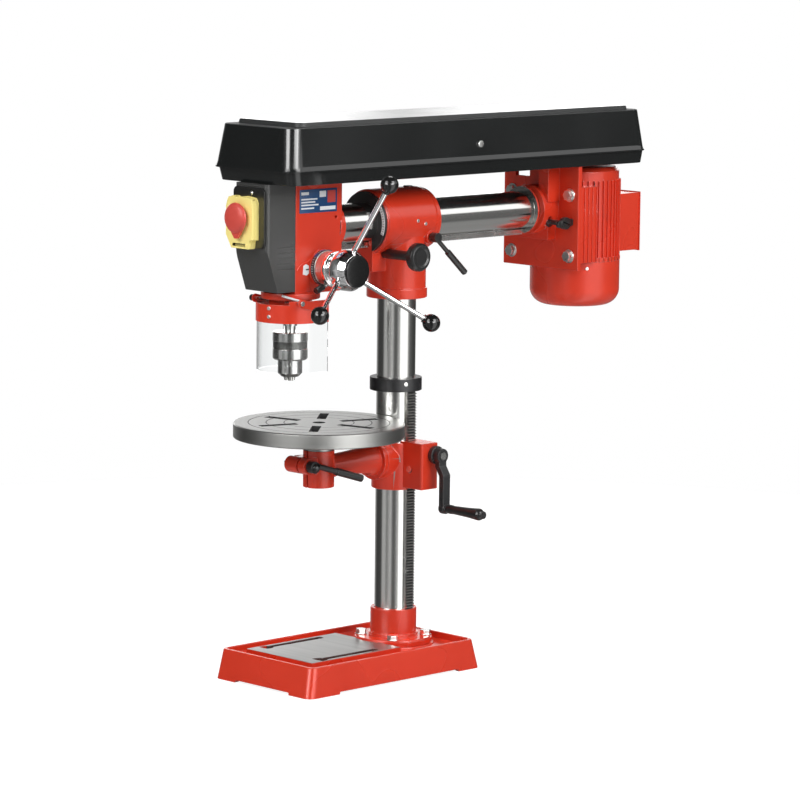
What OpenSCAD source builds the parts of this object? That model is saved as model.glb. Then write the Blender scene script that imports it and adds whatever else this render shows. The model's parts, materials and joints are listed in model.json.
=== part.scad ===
// Bench radial arm drill: round table on a rack column, sliding and tilting
// ram head, belt drive under a long cover.
// +X is the operator's right, -Y the drill end, +Z up. The origin is the
// column's axis at the bench.

/* [Base] */
// Width of the base at the bench
base_w = 198; // [190:1:215]
// Base length in front of the column axis
base_front = 254.5; // [250:1:280]
// Base length behind the column axis
base_back = 80.5; // [78:1:100]
// Height of the base casting
base_h = 42.3; // [40:0.5:50]
// Inward draft of the base's sides
base_draft = 3.5; // [2:0.5:6]
// Wall of the base casting
base_wall = 6; // [5:0.5:8]
// Depth of the recess round the machined pad
base_recess = 9; // [6:0.5:10]
// Width of the machined pad
pad_w = 136; // [125:1:150]
// Length of the machined pad
pad_l = 172; // [165:1:175]
// Distance from one T-slot to the other
slot_gap = 112; // [104:1:116]
// Width of a T-slot
slot_w = 8; // [6:0.5:10]
// Length of a T-slot
slot_l = 112; // [100:1:120]
// Radius of a bench bolt hole
bench_hole_r = 5; // [4:0.5:6]

/* [Column] */
// Radius of the column tube
column_r = 27.5; // [26:0.5:28.5]
// Wall of the column tube
column_wall = 4; // [3:0.5:6]
// Height of the column's top end
column_top = 575; // [572:1:577]
// Radius of the column's foot flange
flange_r = 55; // [52:0.5:57]
// Thickness of the foot flange
flange_t = 9; // [8:0.5:12]
// Height of the foot flange's collar top
collar_top = 85; // [80:1:95]
// Underside of the black ring that holds the rack down
ring_z = 398.5; // [395:0.5:402]
// Radius of the black ring
ring_r = 37; // [36:0.5:38]
// Height of the black ring
ring_h = 18.5; // [14:0.5:22]
// Width of the column's rack
rack_w = 15; // [12:0.5:16]
// Module of the column rack's teeth
rack_m = 1.3; // [1.2:0.05:1.4]

/* [Table] */
// Distance from the column axis to the table's centre
table_reach = 148.5; // [148.5:0.5:160]
// Radius of the round table
table_r = 120; // [112:0.5:120]
// Thickness of the table
table_t = 20.5; // [16:0.5:24]
// Height of the table's top
table_z = 364.5; // [362:0.5:368]
// Height of the axis that the table tilts about
tilt_z = 301; // [299:0.5:303]
// Radius of the tilting flanges
tilt_r = 28; // [26:0.5:30]
// Radius of the table's stem
stem_r = 14; // [12:0.5:15]
// Height of the crank's axis
crank_z = 311; // [310:0.5:312]
// Length of the crank's arm
crank_l = 74; // [60:1:80]
// Length of the crank's grip
grip_l = 70; // [60:1:80]

/* [Ram] */
// Height of the ram's axis
ram_z = 640.3; // [638:0.1:642]
// Radius of the ram tube
ram_r = 27.6; // [26:0.2:28]
// Front end of the ram tube, inside the head
ram_front = -181; // [-182:0.5:-178]
// Rear end of the ram tube, inside the motor's clamp
ram_back = 284; // [280:0.5:285]
// Radius of the ram's housing
turret_r = 46; // [44:0.5:48]
// Front face of the ram's housing
turret_front = -61.4; // [-63:0.2:-60]
// Rear face of the ram's housing
turret_back = 44.5; // [42:0.5:48]
// Module of the ram rack's teeth
ram_m = 1.5; // [1.4:0.05:1.6]
// Radius of the ram's hand knob
ram_knob_r = 19.5; // [17:0.5:20]

/* [Head] */
// Distance from the column axis to the spindle's axis
spindle_reach = 204.2; // [203:0.1:205]
// Half width of the head casting
head_x = 33; // [32:0.5:34]
// Rear face of the head casting
head_back = -137; // [-139:0.5:-136]
// Underside of the head casting
head_z = 552; // [551:0.5:553]
// Radius of the quill
quill_r = 18.2; // [18.2:0.1:18.4]
// Underside of the quill
quill_z = 514; // [512:0.5:516]
// Height of the feed shaft
feed_z = 586.5; // [584:0.5:588]
// Module of the quill rack's teeth
quill_m = 1.25; // [1.2:0.05:1.3]
// Distance from the feed shaft's axis to the ball knobs
spoke_reach = 122; // [105:1:124]
// Radius of a ball knob
ball_r = 12.5; // [11:0.5:13]
// Radius of the chuck's sleeve
chuck_r = 24.25; // [22:0.25:26]
// Height of the jaws' tips
chuck_tip = 429; // [426:0.5:430]

/* [Drive] */
// Distance from the column axis to the motor's axis
motor_reach = 366.3; // [364:0.1:370]
// Radius of the motor's frame
motor_r = 66.2; // [62:0.2:68]
// Lowest point of the motor
motor_z = 495; // [480:1:510]
// Half width of the cover's top edge
lid_x = 73.5; // [70:0.5:76]
// Half width of the lid's lip
lip_x = 83.3; // [82:0.1:86]
// Front end of the lid's top edge
lid_front = -271; // [-274:0.5:-268]
// Rear end of the lid's top edge
lid_back = 427; // [424:0.5:436]
// Height of the pan's underside
pan_z = 705.7; // [704:0.1:708]
// Height of the joint between pan and lid
lip_z = 723.7; // [722:0.1:726]
// Height of the lid's shoulder
lid_z = 783.6; // [782:0.1:788]
// Height of the lid's raised panel
top_z = 790; // [788:0.5:794]
// Radius of the largest pulley step
step_big = 56; // [52:0.5:58]
// Radius of the smallest pulley step
step_small = 26; // [22:0.5:28]

/* [Hidden] */

$fn = 64;
e = 0.01;
// Running clearance of a shaft or tube in its bore, on the radius
fit = 0.06;
// Gap between faces of pieces that move past each other
gap = 0.3;

red = [0.78, 0.22, 0.16];
black = [0.10, 0.10, 0.10];
steel = [0.72, 0.72, 0.72];
iron = [0.60, 0.60, 0.58];
zinc = [0.80, 0.80, 0.78];

// Base and column places
floor_z = base_h - base_recess;
seat_z = floor_z + 2;
flange_top = seat_z + flange_t;
flange_bolt_r = 46;
bench_x = 82;
bench_y = -30;
pad_front = -222;
slot_y = pad_front + 22;

// Column rack and lift gears
rack_in = column_r + gap;
rack_tip = column_r + 7.5;
rack_pitch_x = rack_tip - rack_m;
rack_low = collar_top + gap;
rack_l = ring_z - gap - rack_low;
lift_teeth = 14;
lift_r = rack_m * lift_teeth / 2;
lift_x = rack_pitch_x + lift_r;
worm_r = 7;
wheel_r = 15;
wheel_m = 1.4;
wheel_teeth = 20;
lift_z = crank_z - wheel_r - worm_r;
wheel_w = 6;
wheel_y = rack_w / 2 + 0.7;
crank_y = wheel_y + wheel_w / 2;
worm_x = rack_tip + 1.5;

// Table bracket
sleeve_r = column_r + 6;
bracket_low = 258;
bracket_top = 325;
box_low = 262;
box_top = 328;
box_x = 68;
box_front = -13.5;
box_back = crank_y + 8;
flange_y = -39;
arm_flange_t = 7;
boss_r = 22;
boss_low = 274;
boss_top = 326;
clamp_y = -table_reach - 30.5;
clamp_z = 306.5;

// Front face of the motor's clamp on the ram tube
mount_front = motor_reach - 104.3;

// Turret places
socket_r = 41;
socket_lip_r = 43;
socket_low = 531;
socket_top = 600;
pinion_y = -40;
ram_rack_in = ram_r + gap;
ram_rack_t = 7.4;
ram_rack_w = 15;
ram_rack_y = head_back + 7;
ram_rack_l = mount_front - 12 - ram_rack_y;
ram_rack_tip = ram_z - ram_rack_in - ram_rack_t;
ram_teeth = 14;
ram_pinion_r = ram_m * ram_teeth / 2;
pinion_z = ram_rack_tip + ram_m - ram_pinion_r;
pinion_boss_x = 16;
pinion_boss_front = -64;
pinion_boss_top = 622;
ram_knob_stem = 7;
ram_lock_y = 24;
ram_lock_z = ram_z - 23;

// Head places
spindle_y = -spindle_reach;
cover_front = -279;
cover_back = -226;
head_front = cover_back + gap;
quill_top = 658;
quill_teeth = 18;
feed_pitch_r = quill_m * quill_teeth / 2;
quill_pitch_y = spindle_y + quill_r - quill_m;
feed_y = quill_pitch_y + feed_pitch_r;
nose_r = 30;
nose_low = 532;
skirt_r = 41;
skirt_low = 543.6;
guard_r = 48;
guard_pin_y = spindle_y - 22.8;
guard_pin_z = 541;
guard_pin_r = 2;
band_low = 512.5;
sleeve_low = 461;
sleeve_top = 497.3;
jaw_r = 3.6;
jaw_lean = 15;
jaw_tip_r = 4.2;
body_low = 434.5;
spindle_top = 772;
knurl_teeth = 30;
hub_x = head_x + 3 + gap;
hub_end = 102;
ball_x = 150;
hub_r = 28;
spoke_x = 88;
spoke_root = 18;
spoke_r = 3.7;
spoke_l = norm([ball_x - spoke_x, spoke_reach - spoke_root]);
feed_shaft_r = 8;
feed_end_r = 5;
cup_x = -head_x - 3;
cup_r = 27;
cup_depth = 13;
sw_x = -7;
sw_w = 54;
sw_low = 621;
sw_top = 688;
sw_cheek = 9;
sw_y = cover_front - 3;
flap_y = sw_y - 7;
flap_t = 5;
flap_pin_z = sw_top - 2.2;
flap_pin_y = flap_y + 1.2;
knob_z = 659;
knob_r = 21;
knob_lift = 3;
knob_stem_r = 9;
button_r = 6;
stop_z = 657;
start_z = 637;
button_face = flap_y + 1.2;
bezel_low = 618;
bezel_top = 701;
block_low = 626.3;
block_top = 679.7;
block_x = [-27.7, 13.7];
block_back = cover_front + 0.53 * (cover_back - cover_front);

// Drive places
belt_z0 = pan_z + 8;
step_h = 11.5;
steps = 5;
belt_step = 2;
groove = 7;
belt_r = (step_big + step_small) / 2 - 3.2;
belt_t = 5.5;
belt_y = [-spindle_reach, motor_reach];
plate_y = mount_front + 30;
stator_low = 590;
stator_top = 660;
winding_h = 14;
wing_x = 62;
wing_y = mount_front + 16;
wing_z = ram_z - 17;
plate_t = 7.5;
plate_x = 75;
plate_low = 554;
motor_bolt_x = 58;
motor_bolt_z = [574, 663];
frame_low = 562;
frame_top = 681;
shaft_r = 8;
hinge_y = [-90, 250];
hinge_x = -lip_x - 3.9;

// Box from its low corner to its high corner
module box(low, high) {
  translate(low) cube(high - low);
}
// Cylinder along Z, between two heights
module rod_z(r, z0, z1, x = 0, y = 0) {
  translate([x, y, z0]) cylinder(r = r, h = z1 - z0);
}
// Cylinder along X, between two places
module rod_x(r, x0, x1, y, z) {
  translate([x0, y, z]) rotate([0, 90, 0]) cylinder(r = r, h = x1 - x0);
}
// Cylinder along Y, between two places
module rod_y(r, y0, y1, x, z) {
  translate([x, y0, z]) rotate([-90, 0, 0]) cylinder(r = r, h = y1 - y0);
}
// Rectangle with round corners, from its low to its high corner
module round_plate(x0, y0, x1, y1, r) {
  translate([x0 + r, y0]) square([x1 - x0 - 2 * r, y1 - y0]);
  translate([x0, y0 + r]) square([x1 - x0, y1 - y0 - 2 * r]);
  for (x = [x0 + r, x1 - r], y = [y0 + r, y1 - r])
    translate([x, y]) circle(r);
}
// Slab with round corners
module slab(x0, y0, x1, y1, r, z0, z1) {
  translate([0, 0, z0])
    linear_extrude(z1 - z0)
      round_plate(x0, y0, x1, y1, r);
}
// Drafted block, from its outline at z0 to a smaller one at z1
module draft_block(x, y0, y1, z0, x_top, y0_top, y1_top, z1, r) {
  hull() {
    slab(-x, y0, x, y1, r, z0, z0 + e, $fn = 32);
    slab(-x_top, y0_top, x_top, y1_top, r, z1 - e, z1, $fn = 32);
  }
}
// Outline of a spur gear
module gear_outline(m, teeth, backlash = 0.35) {
  rp = m * teeth / 2;
  ra = rp + 0.9 * m;
  rf = rp - 1.15 * m;
  step = 360 / teeth;
  w = step / 4 - backlash / rp * 90 / PI;
  polygon([for (k = [0 : teeth - 1])
    each [for (p = [[rf, -1.6], [ra, -0.4], [ra, 0.4], [rf, 1.6]])
      let (a = k * step + p[1] * w) [p[0] * cos(a), p[0] * sin(a)]]]);
}
// Teeth on a rack, the place of its first tooth gap, and how far the gap
// nearest to a place along it lies from that place
function rack_count(m, length) = floor((length - 2) / (PI * m));
function rack_start(m, length) = (length - rack_count(m, length) * PI * m) / 2;
function gap_offset(m, length, at) =
  let (d = at - rack_start(m, length)) round(d / (PI * m)) * PI * m - d;
// Turn that puts a gear's tooth into a gap at that offset
function mesh_turn(offset, r) = offset / r * 180 / PI;
// Outline of a rack: length along X, teeth towards +Y, tips at y = 0
module rack_outline(m, length, back) {
  pitch = PI * m;
  count = rack_count(m, length);
  start = rack_start(m, length);
  polygon(concat(
    [[0, -back]],
    [[0, -2.2 * m]],
    [for (k = [0 : count - 1])
      each [for (p = [[0.10, -2.2], [0.36, 0], [0.64, 0], [0.90, -2.2]])
        [start + (k + p[0]) * pitch, p[1] * m]]],
    [[length, -2.2 * m]],
    [[length, -back]]));
}
// Hexagon head with a washer, pointing up from z = 0
module hex_head(r, h, washer_r) {
  cylinder(r = washer_r, h = 1.2);
  translate([0, 0, 1.2]) cylinder(r = r, h = h, $fn = 6);
}
// Lever from a hub: a thin shank and a thicker grip along +X
module lever_bar(length, shank_r, grip_r) {
  rotate([0, 90, 0]) cylinder(r = shank_r, h = length * 0.4);
  translate([length * 0.4, 0, 0])
    rotate([0, 90, 0])
      cylinder(r = grip_r, h = length * 0.6 - grip_r / 2);
  translate([length - grip_r, 0, 0]) sphere(grip_r, $fn = 32);
}

module base() {
  y_front = -base_front;
  color(red) difference() {
    union() {
      difference() {
        draft_block(base_w / 2, y_front, base_back, 0,
          base_w / 2 - base_draft, y_front + 2.4 * base_draft,
          base_back - 3 * base_draft, base_h, 12);
        translate([0, 0, -1])
          slab(-base_w / 2 + base_wall + 2, y_front + base_wall + 3,
            base_w / 2 - base_wall - 2, base_back - base_wall - 3, 8,
            0, floor_z - base_wall + 1);
        slab(-base_w / 2 + 8.5, y_front + 13.5, base_w / 2 - 8.5,
          base_back - 15.5, 8, floor_z, base_h + 1);
      }
      // Machined pad, column seat and bench bolt bosses
      box([-pad_w / 2, pad_front, floor_z - base_wall],
        [pad_w / 2, pad_front + pad_l, base_h]);
      rod_z(flange_r + 3, floor_z - base_wall, seat_z);
      difference() {
        rod_z(flange_r + 3, 0, floor_z);
        rod_z(flange_r - 15, base_wall, floor_z + 1);
      }
      for (s = [-1, 1])
        rod_z(bench_hole_r + 5, floor_z - base_wall, seat_z, s * bench_x, bench_y);
    }
    // Space for the flange behind the pad
    rod_z(flange_r + 1, seat_z, base_h + 1);
    for (s = [-1, 1]) {
      translate([s * slot_gap / 2, 0, 0]) {
        box([-slot_w / 2, slot_y, -1], [slot_w / 2, slot_y + slot_l, base_h + 1]);
        box([-slot_w, slot_y, -1], [slot_w, slot_y + 12, base_h + 1]);
      }
      rod_z(bench_hole_r, -1, base_h, s * bench_x, bench_y);
    }
    for (a = [45 : 90 : 315])
      rod_z(5, -1, base_h, flange_bolt_r * cos(a), flange_bolt_r * sin(a));
    // Arches between the four feet
    box([-55, y_front - 5, -1], [55, y_front + 20, 3]);
    box([-55, base_back - 20, -1], [55, base_back + 5, 3]);
    for (s = [-1, 1])
      box([min(s * 80, s * 110), -196, -1], [max(s * 80, s * 110), 35, 3]);
  }
}

module column_flange() {
  color(red) difference() {
    union() {
      rod_z(flange_r, seat_z, flange_top - 2);
      rod_z(flange_r - 1.5, flange_top - 2, flange_top);
      rod_z(column_r + 5.5, flange_top, collar_top);
      rod_z(column_r + 8, flange_top, flange_top + 5);
    }
    rod_z(column_r + fit, seat_z - 1, collar_top + 1);
    for (a = [45 : 90 : 315])
      rod_z(5.3, 0, collar_top, flange_bolt_r * cos(a), flange_bolt_r * sin(a));
  }
}

module flange_bolts() {
  color(zinc) for (a = [45 : 90 : 315])
    translate([flange_bolt_r * cos(a), flange_bolt_r * sin(a), flange_top]) {
      hex_head(8, 6, 8.4);
      rod_z(4.9, -24, 0.5);
    }
}

module column() {
  color(steel) difference() {
    rod_z(column_r, seat_z, column_top);
    rod_z(column_r - column_wall, seat_z - 1, column_top + 1);
  }
}

module rack_collar() {
  color(black) difference() {
    rod_z(ring_r, ring_z, ring_z + ring_h);
    rod_z(column_r + fit, ring_z - 1, ring_z + ring_h + 1);
    rotate([0, 0, -20]) rod_x(3, ring_r - 5, ring_r + 1, 0, ring_z + 11);
  }
  color(steel) rotate([0, 0, -20])
    rod_x(2.9, ring_r - 4.9, ring_r - 1, 0, ring_z + 11);
}

module column_rack() {
  color(steel)
    translate([rack_tip, rack_w / 2, rack_low])
      rotate([90, 0, 0])
        linear_extrude(rack_w)
          rotate([0, 0, 90]) mirror([0, 1, 0])
            rack_outline(rack_m, rack_l, rack_tip - rack_in);
}

module table_bracket() {
  color(red) difference() {
    union() {
      rod_z(sleeve_r, bracket_low, bracket_top);
      slab(15, box_front, box_x, box_back, 3, box_low, box_top);
      // Flange that the arm tilts on
      rod_y(tilt_r, flange_y, -15, 0, tilt_z);
      // Boss of the column lock
      rod_x(10, -sleeve_r - 6, -column_r, 0, 290);
    }
    rod_z(column_r + fit, bracket_low - 1, box_top + 1);
    box([0, -rack_w / 2 - gap, bracket_low - 1],
      [rack_tip + gap, rack_w / 2 + gap, box_top + 1]);
    // Chamber and bores of the lift gears
    rod_y(lift_r + rack_m + 0.6, -rack_w / 2 - gap, wheel_y - 0.4, lift_x, lift_z);
    rod_y(wheel_r + 2.2, wheel_y - 0.4, wheel_y + wheel_w + 0.4, lift_x, lift_z);
    rod_y(5 + fit, box_front - 1, box_back + 1, lift_x, lift_z);
    rod_x(worm_r + 1.6, worm_x - gap, lift_x + 11.3, crank_y, crank_z);
    rod_x(5.5 + fit, lift_x, box_x + 1, crank_y, crank_z);
    // Seat of the tilt bolt and hole of the column lock
    rod_y(6, flange_y - 1, -column_r + 1, 0, tilt_z);
    rod_x(4 + fit, -sleeve_r - 10, -column_r + 2, 0, 290);
  }
}

// Short stud with a lever, its axis along +X from the origin
module lock_lever(stud_l, length, drop) {
  rotate([0, 90, 0]) cylinder(r = 4, h = stud_l);
  translate([stud_l, 0, 0]) rotate([0, 90, 0]) cylinder(r = 7, h = 12);
  translate([stud_l + 6, 0, 0])
    rotate([0, 0, 90]) rotate([0, drop, 0])
      lever_bar(length, 3.2, 4.6);
}

module bracket_lock() {
  color(black) translate([-column_r - 0.5, 0, 290])
    mirror([1, 0, 0]) lock_lever(sleeve_r + 7 - column_r, 58, 62);
}

module lift_pinion() {
  color(steel) translate([lift_x, 0, lift_z]) rotate([90, 0, 0]) {
    translate([0, 0, -rack_w / 2]) linear_extrude(rack_w)
      rotate([0, 0, -mesh_turn(gap_offset(rack_m, rack_l, lift_z - rack_low), lift_r)])
        gear_outline(rack_m, lift_teeth);
    translate([0, 0, -wheel_y - wheel_w]) linear_extrude(wheel_w)
      gear_outline(wheel_m, wheel_teeth);
    translate([0, 0, -box_back + 0.5])
      cylinder(r = 5, h = box_back - box_front - 0.5);
  }
}

module lift_worm() {
  color(steel) {
    rod_x(5.5, worm_x, box_x + 19, crank_y, crank_z);
    for (k = [-1 : 2])
      rod_x(worm_r - 0.6, lift_x + k * 4.4 - 1, lift_x + k * 4.4 + 1, crank_y, crank_z);
  }
}

module crank() {
  x0 = box_x + gap;
  x1 = box_x + 17;
  x2 = x1 + 8;
  color(black) difference() {
    union() {
      rod_x(13, x0, x0 + 7, crank_y, crank_z);
      rod_x(10.5, x0, x1 + 1, crank_y, crank_z);
      // Cranked arm: its profile across, kept inside its outline from the side
      intersection() {
        translate([0, crank_y + 10, 0]) rotate([90, 0, 0]) linear_extrude(20)
          polygon([[x1 - 8, crank_z + 12], [x1 + 1, crank_z + 12], [x1 + 1, crank_z - 14],
            [x2 + 1, crank_z - 26], [x2 + 1, crank_z - crank_l - 10],
            [x2 - 8, crank_z - crank_l - 10], [x2 - 8, crank_z - 28],
            [x1 - 8, crank_z - 16]]);
        union() {
          rod_x(10.5, x0, x2 + 5, crank_y, crank_z);
          box([x0, crank_y - 7, crank_z - crank_l], [x2 + 5, crank_y + 7, crank_z]);
          rod_x(8, x0, x2 + 5, crank_y, crank_z - crank_l);
        }
      }
    }
    rod_x(5.5 + fit, x0 - 1, x1 + 3, crank_y, crank_z);
    rod_x(4, x2 - 9, x2 + 2, crank_y, crank_z - crank_l);
  }
  // Spindle that the grip turns on, with its head
  color(steel) {
    rod_x(3.9, x2 - 8, x2 + grip_l + 3.5, crank_y, crank_z - crank_l);
    rod_x(6.5, x2 + 1, x2 + 3.5, crank_y, crank_z - crank_l);
    rod_x(5.5, x2 + grip_l + 3.8, x2 + grip_l + 5, crank_y, crank_z - crank_l);
    rod_x(3.9, x2 + grip_l + 3.4, x2 + grip_l + 4, crank_y, crank_z - crank_l);
  }
}

module crank_grip() {
  x0 = box_x + 17 + 8 + 3.8;
  l = grip_l - 0.3;
  color(black) translate([x0, crank_y, crank_z - crank_l]) rotate([0, 90, 0])
    rotate_extrude()
      difference() {
        union() {
          polygon([[0, 0], [6, 0], [6.6, 6], [6, 14], [7, 40], [8.6, l - 8], [0, l - 8]]);
          intersection() {
            translate([0, l - 8.6]) circle(8.6);
            translate([0, l - 8.6]) square([9, 8.6]);
          }
        }
        translate([-1, -1]) square([1 + 3.9 + fit, l + 2]);
      }
}

module table_arm() {
  color(red) difference() {
    union() {
      rod_y(tilt_r, flange_y - gap - arm_flange_t, flange_y - gap, 0, tilt_z);
      hull() {
        rod_y(22, flange_y - gap - arm_flange_t, flange_y - gap - 3, 0, tilt_z, $fn = 32);
        rod_y(15, -table_reach + 8, -table_reach + 12, 0, tilt_z, $fn = 32);
      }
      rod_z(boss_r, boss_low, boss_top, 0, -table_reach);
      rod_x(11.5, -26, 15, clamp_y, clamp_z);
      box([-18, clamp_y, clamp_z - 11.5], [15, -table_reach, clamp_z + 11.5]);
    }
    rod_z(stem_r + fit, boss_low - 1, boss_top + 1, 0, -table_reach);
    box([-1.25, clamp_y - 13, boss_low - 1], [1.25, -table_reach, boss_top + 1]);
    rod_x(4 + fit, -30, 20, clamp_y, clamp_z);
    rod_y(6.3, flange_y - 28, flange_y, 0, tilt_z);
    // Pocket that gives a spanner room at the tilt bolt
    rod_y(12.5, -table_reach + 28, flange_y - gap - arm_flange_t - 12, 0, tilt_z);
    box([-12.5, -table_reach + 28, boss_low - 4],
      [12.5, flange_y - gap - arm_flange_t - 12, tilt_z]);
  }
}

module tilt_bolt() {
  y0 = flange_y - gap - arm_flange_t - 12;
  color(zinc) {
    rod_y(5.9, y0 - 1, -column_r - 1, 0, tilt_z);
    rod_y(11, y0 - 2, y0 - gap, 0, tilt_z);
    translate([0, y0 - 9, tilt_z]) rotate([-90, 0, 0]) cylinder(r = 9.5, h = 7.1, $fn = 6);
  }
}

module table() {
  ring = 1.2;
  color(iron) difference() {
    union() {
      translate([0, -table_reach, table_z - table_t]) rotate_extrude($fn = 128)
        polygon([[0, 0], [table_r - 1, 0], [table_r, 1], [table_r, table_t - 1.5],
          [table_r - 1.5, table_t], [0, table_t]]);
      rod_z(22, boss_top + gap, table_z - table_t + 1, 0, -table_reach);
      rod_z(stem_r, boss_low + 3, table_z - 1, 0, -table_reach);
    }
    rod_z(9, table_z - 12, table_z + 1, 0, -table_reach);
    translate([0, -table_reach, table_z]) {
      for (r = [49, 74, 99])
        rotate_extrude($fn = 128) translate([r, 0]) square([ring, ring], center = true);
      for (k = [0 : 5])
        rotate([0, 0, 12 + 60 * k])
          box([34, -6.5, -table_t - 1], [90, 6.5, 1]);
    }
  }
}

module table_clamp() {
  color(black) {
    rod_x(4, -26.3, 17, clamp_y, clamp_z);
    rod_x(7.5, -31, -26.3, clamp_y, clamp_z, $fn = 6);
    rod_x(8.5, 15.3, 27, clamp_y, clamp_z);
    translate([27, clamp_y, clamp_z]) sphere(6);
    translate([30, clamp_y + 2, clamp_z + 2])
      rotate([0, 0, 86]) rotate([0, 17, 0]) lever_bar(84, 4.2, 5.4);
  }
}

module turret() {
  length = turret_back - turret_front;
  color(red) difference() {
    union() {
      translate([0, turret_front, ram_z]) rotate([-90, 0, 0])
        rotate_extrude($fn = 96) {
          translate([0, 2]) square([turret_r, length - 16]);
          square([turret_r - 2, length]);
          translate([0, length - 14]) square([turret_r - 14, 14]);
          intersection() {
            translate([turret_r - 14, length - 14]) circle(14);
            translate([turret_r - 14, length - 14]) square(14);
          }
        }
      rod_z(socket_r, socket_low, socket_top + 20);
      rod_z(socket_lip_r, socket_low, socket_low + 14);
      box([-pinion_boss_x, pinion_boss_front, 571], [pinion_boss_x, 0, pinion_boss_top]);
      rod_x(9, 0, turret_r - 1, ram_lock_y, ram_lock_z);
      rod_x(9, -socket_r - 5, 0, 10, 547);
    }
    rod_y(ram_r + fit, pinion_boss_front - 1, turret_back + 1, 0, ram_z);
    box([-ram_rack_w / 2 - gap, turret_front - 5, ram_rack_tip - gap],
      [ram_rack_w / 2 + gap, turret_back + 1, ram_z]);
    rod_z(column_r + fit, socket_low - 1, column_top + fit);
    // Chamber and bores of the ram pinion
    rod_x(ram_pinion_r + ram_m + 0.6, -8.5, 8.5, pinion_y, pinion_z);
    rod_x(6 + fit, -pinion_boss_x - 1, pinion_boss_x + 1, pinion_y, pinion_z);
    rod_x(ram_knob_stem + gap, pinion_boss_x, turret_r, pinion_y, pinion_z);
    box([-8.5, pinion_y - 9, pinion_z], [8.5, pinion_y + 9, ram_rack_tip]);
    rod_x(4 + fit, ram_r - 6, turret_r + 1, ram_lock_y, ram_lock_z);
    rod_x(4 + fit, -socket_r - 8, -column_r + 2, 10, 547);
    rod_z(7 + fit, ram_z + turret_r - 8, ram_z + turret_r + 3, 0, 20);
  }
  color(black) rod_z(7, ram_z + turret_r - 7.9, ram_z + turret_r + 1.2, 0, 20);
}

module tilt_scale() {
  color(black) difference() {
    rod_y(turret_r - 3, turret_front - 4.5, turret_front, 0, ram_z);
    rod_y(ram_r + fit, turret_front - 5, turret_front + 1, 0, ram_z);
    box([-ram_rack_w / 2 - gap, turret_front - 5, ram_rack_tip - gap],
      [ram_rack_w / 2 + gap, turret_front + 1, ram_z]);
    box([-pinion_boss_x - gap, turret_front - 5, ram_z - turret_r],
      [pinion_boss_x + gap, turret_front + 1, pinion_boss_top + gap]);
  }
}

module turret_lock() {
  color(black) translate([-column_r - 0.5, 10, 547])
    mirror([1, 0, 0]) lock_lever(socket_r + 6 - column_r, 60, 70);
}

module ram_pinion() {
  color(steel) {
    translate([-8, pinion_y, pinion_z]) rotate([0, 90, 0]) linear_extrude(16)
      rotate([0, 0, 180 - mesh_turn(
        gap_offset(ram_m, ram_rack_l, pinion_y - ram_rack_y), ram_pinion_r)])
        gear_outline(ram_m, ram_teeth);
    rod_x(6, -pinion_boss_x, 76, pinion_y, pinion_z);
  }
}

module ram_knob() {
  color(black) difference() {
    union() {
      rod_x(ram_knob_stem, pinion_boss_x + gap, 77, pinion_y, pinion_z);
      translate([76, pinion_y, pinion_z]) rotate([0, 90, 0]) rotate_extrude($fn = 96)
        polygon([[0, 0], [ram_knob_r - 3, 0], [ram_knob_r, 3], [ram_knob_r, 12],
          [ram_knob_r - 3, 15], [ram_knob_r - 6, 15], [ram_knob_r - 8, 13.5], [0, 13.5]]);
    }
    rod_x(6 + fit, pinion_boss_x - 1, 76, pinion_y, pinion_z);
  }
}

module ram_lock() {
  color(black) translate([ram_r + 0.4 - 5.5, ram_lock_y, ram_lock_z])
    lock_lever(turret_r - ram_r + 5.6, 82, 42);
}

module ram_rack() {
  color(steel)
    translate([-ram_rack_w / 2, ram_rack_y, ram_rack_tip]) rotate([90, 0, 90])
      linear_extrude(ram_rack_w)
        mirror([0, 1, 0]) rack_outline(ram_m, ram_rack_l, ram_rack_t);
}

module ram_tube() {
  ring_y = ram_rack_y + ram_rack_l + gap;
  color(steel) {
    difference() {
      rod_y(ram_r, ram_front, ram_back, 0, ram_z);
      rod_y(ram_r - 5, ram_front - 1, ram_back + 1, 0, ram_z);
    }
    // Ring that keeps the rack from sliding back
    difference() {
      rod_y(ram_r + 7, ring_y, ring_y + 3, 0, ram_z);
      rod_y(ram_r - 1, ring_y - 1, ring_y + 4, 0, ram_z);
    }
  }
}

module head() {
  color(red) difference() {
    union() {
      intersection() {
        slab(-head_x, head_front - 10, head_x, head_back, 4, head_z, pan_z);
        box([-head_x, head_front, head_z], [head_x, head_back, pan_z]);
      }
      rod_y(head_x + 2, head_back - 5, head_back + 5, 0, ram_z);
      rod_z(nose_r, nose_low, head_z + 1, 0, spindle_y);
      rod_z(skirt_r, skirt_low, head_z + 1, 0, spindle_y);
      rod_x(24, head_x - 1, head_x + 3, feed_y, feed_z);
      rod_x(31, -head_x - 3, -head_x + 1, feed_y, feed_z);
    }
    // Quill bore, ram socket and belt drive well
    rod_z(quill_r + fit, nose_low - 1, quill_top + 2, 0, spindle_y);
    rod_z(10, quill_top, pan_z + 1, 0, spindle_y);
    rod_z(17 + fit, pan_z - 21 - fit, pan_z + 1, 0, spindle_y);
    rod_y(ram_r + fit, ram_front - 0.5, head_back + 6, 0, ram_z);
    box([-head_x + 7, -175, ram_z + ram_r + 6], [head_x - 7, head_back - 6, pan_z + 1]);
    // Feed shaft's bore and the pinion's chamber
    rod_x(feed_shaft_r + fit, -head_x - 4, head_x + 4, feed_y, feed_z);
    rod_x(feed_pitch_r + quill_m + 0.6, -9, 9, feed_y, feed_z);
    // Guard pin, depth lock and fastener holes
    rod_x(guard_pin_r + fit, -head_x - 2, head_x + 2, guard_pin_y, guard_pin_z);
    rod_x(2, head_x - 6, head_x + 1, -150, 655);
  }
}

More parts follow.
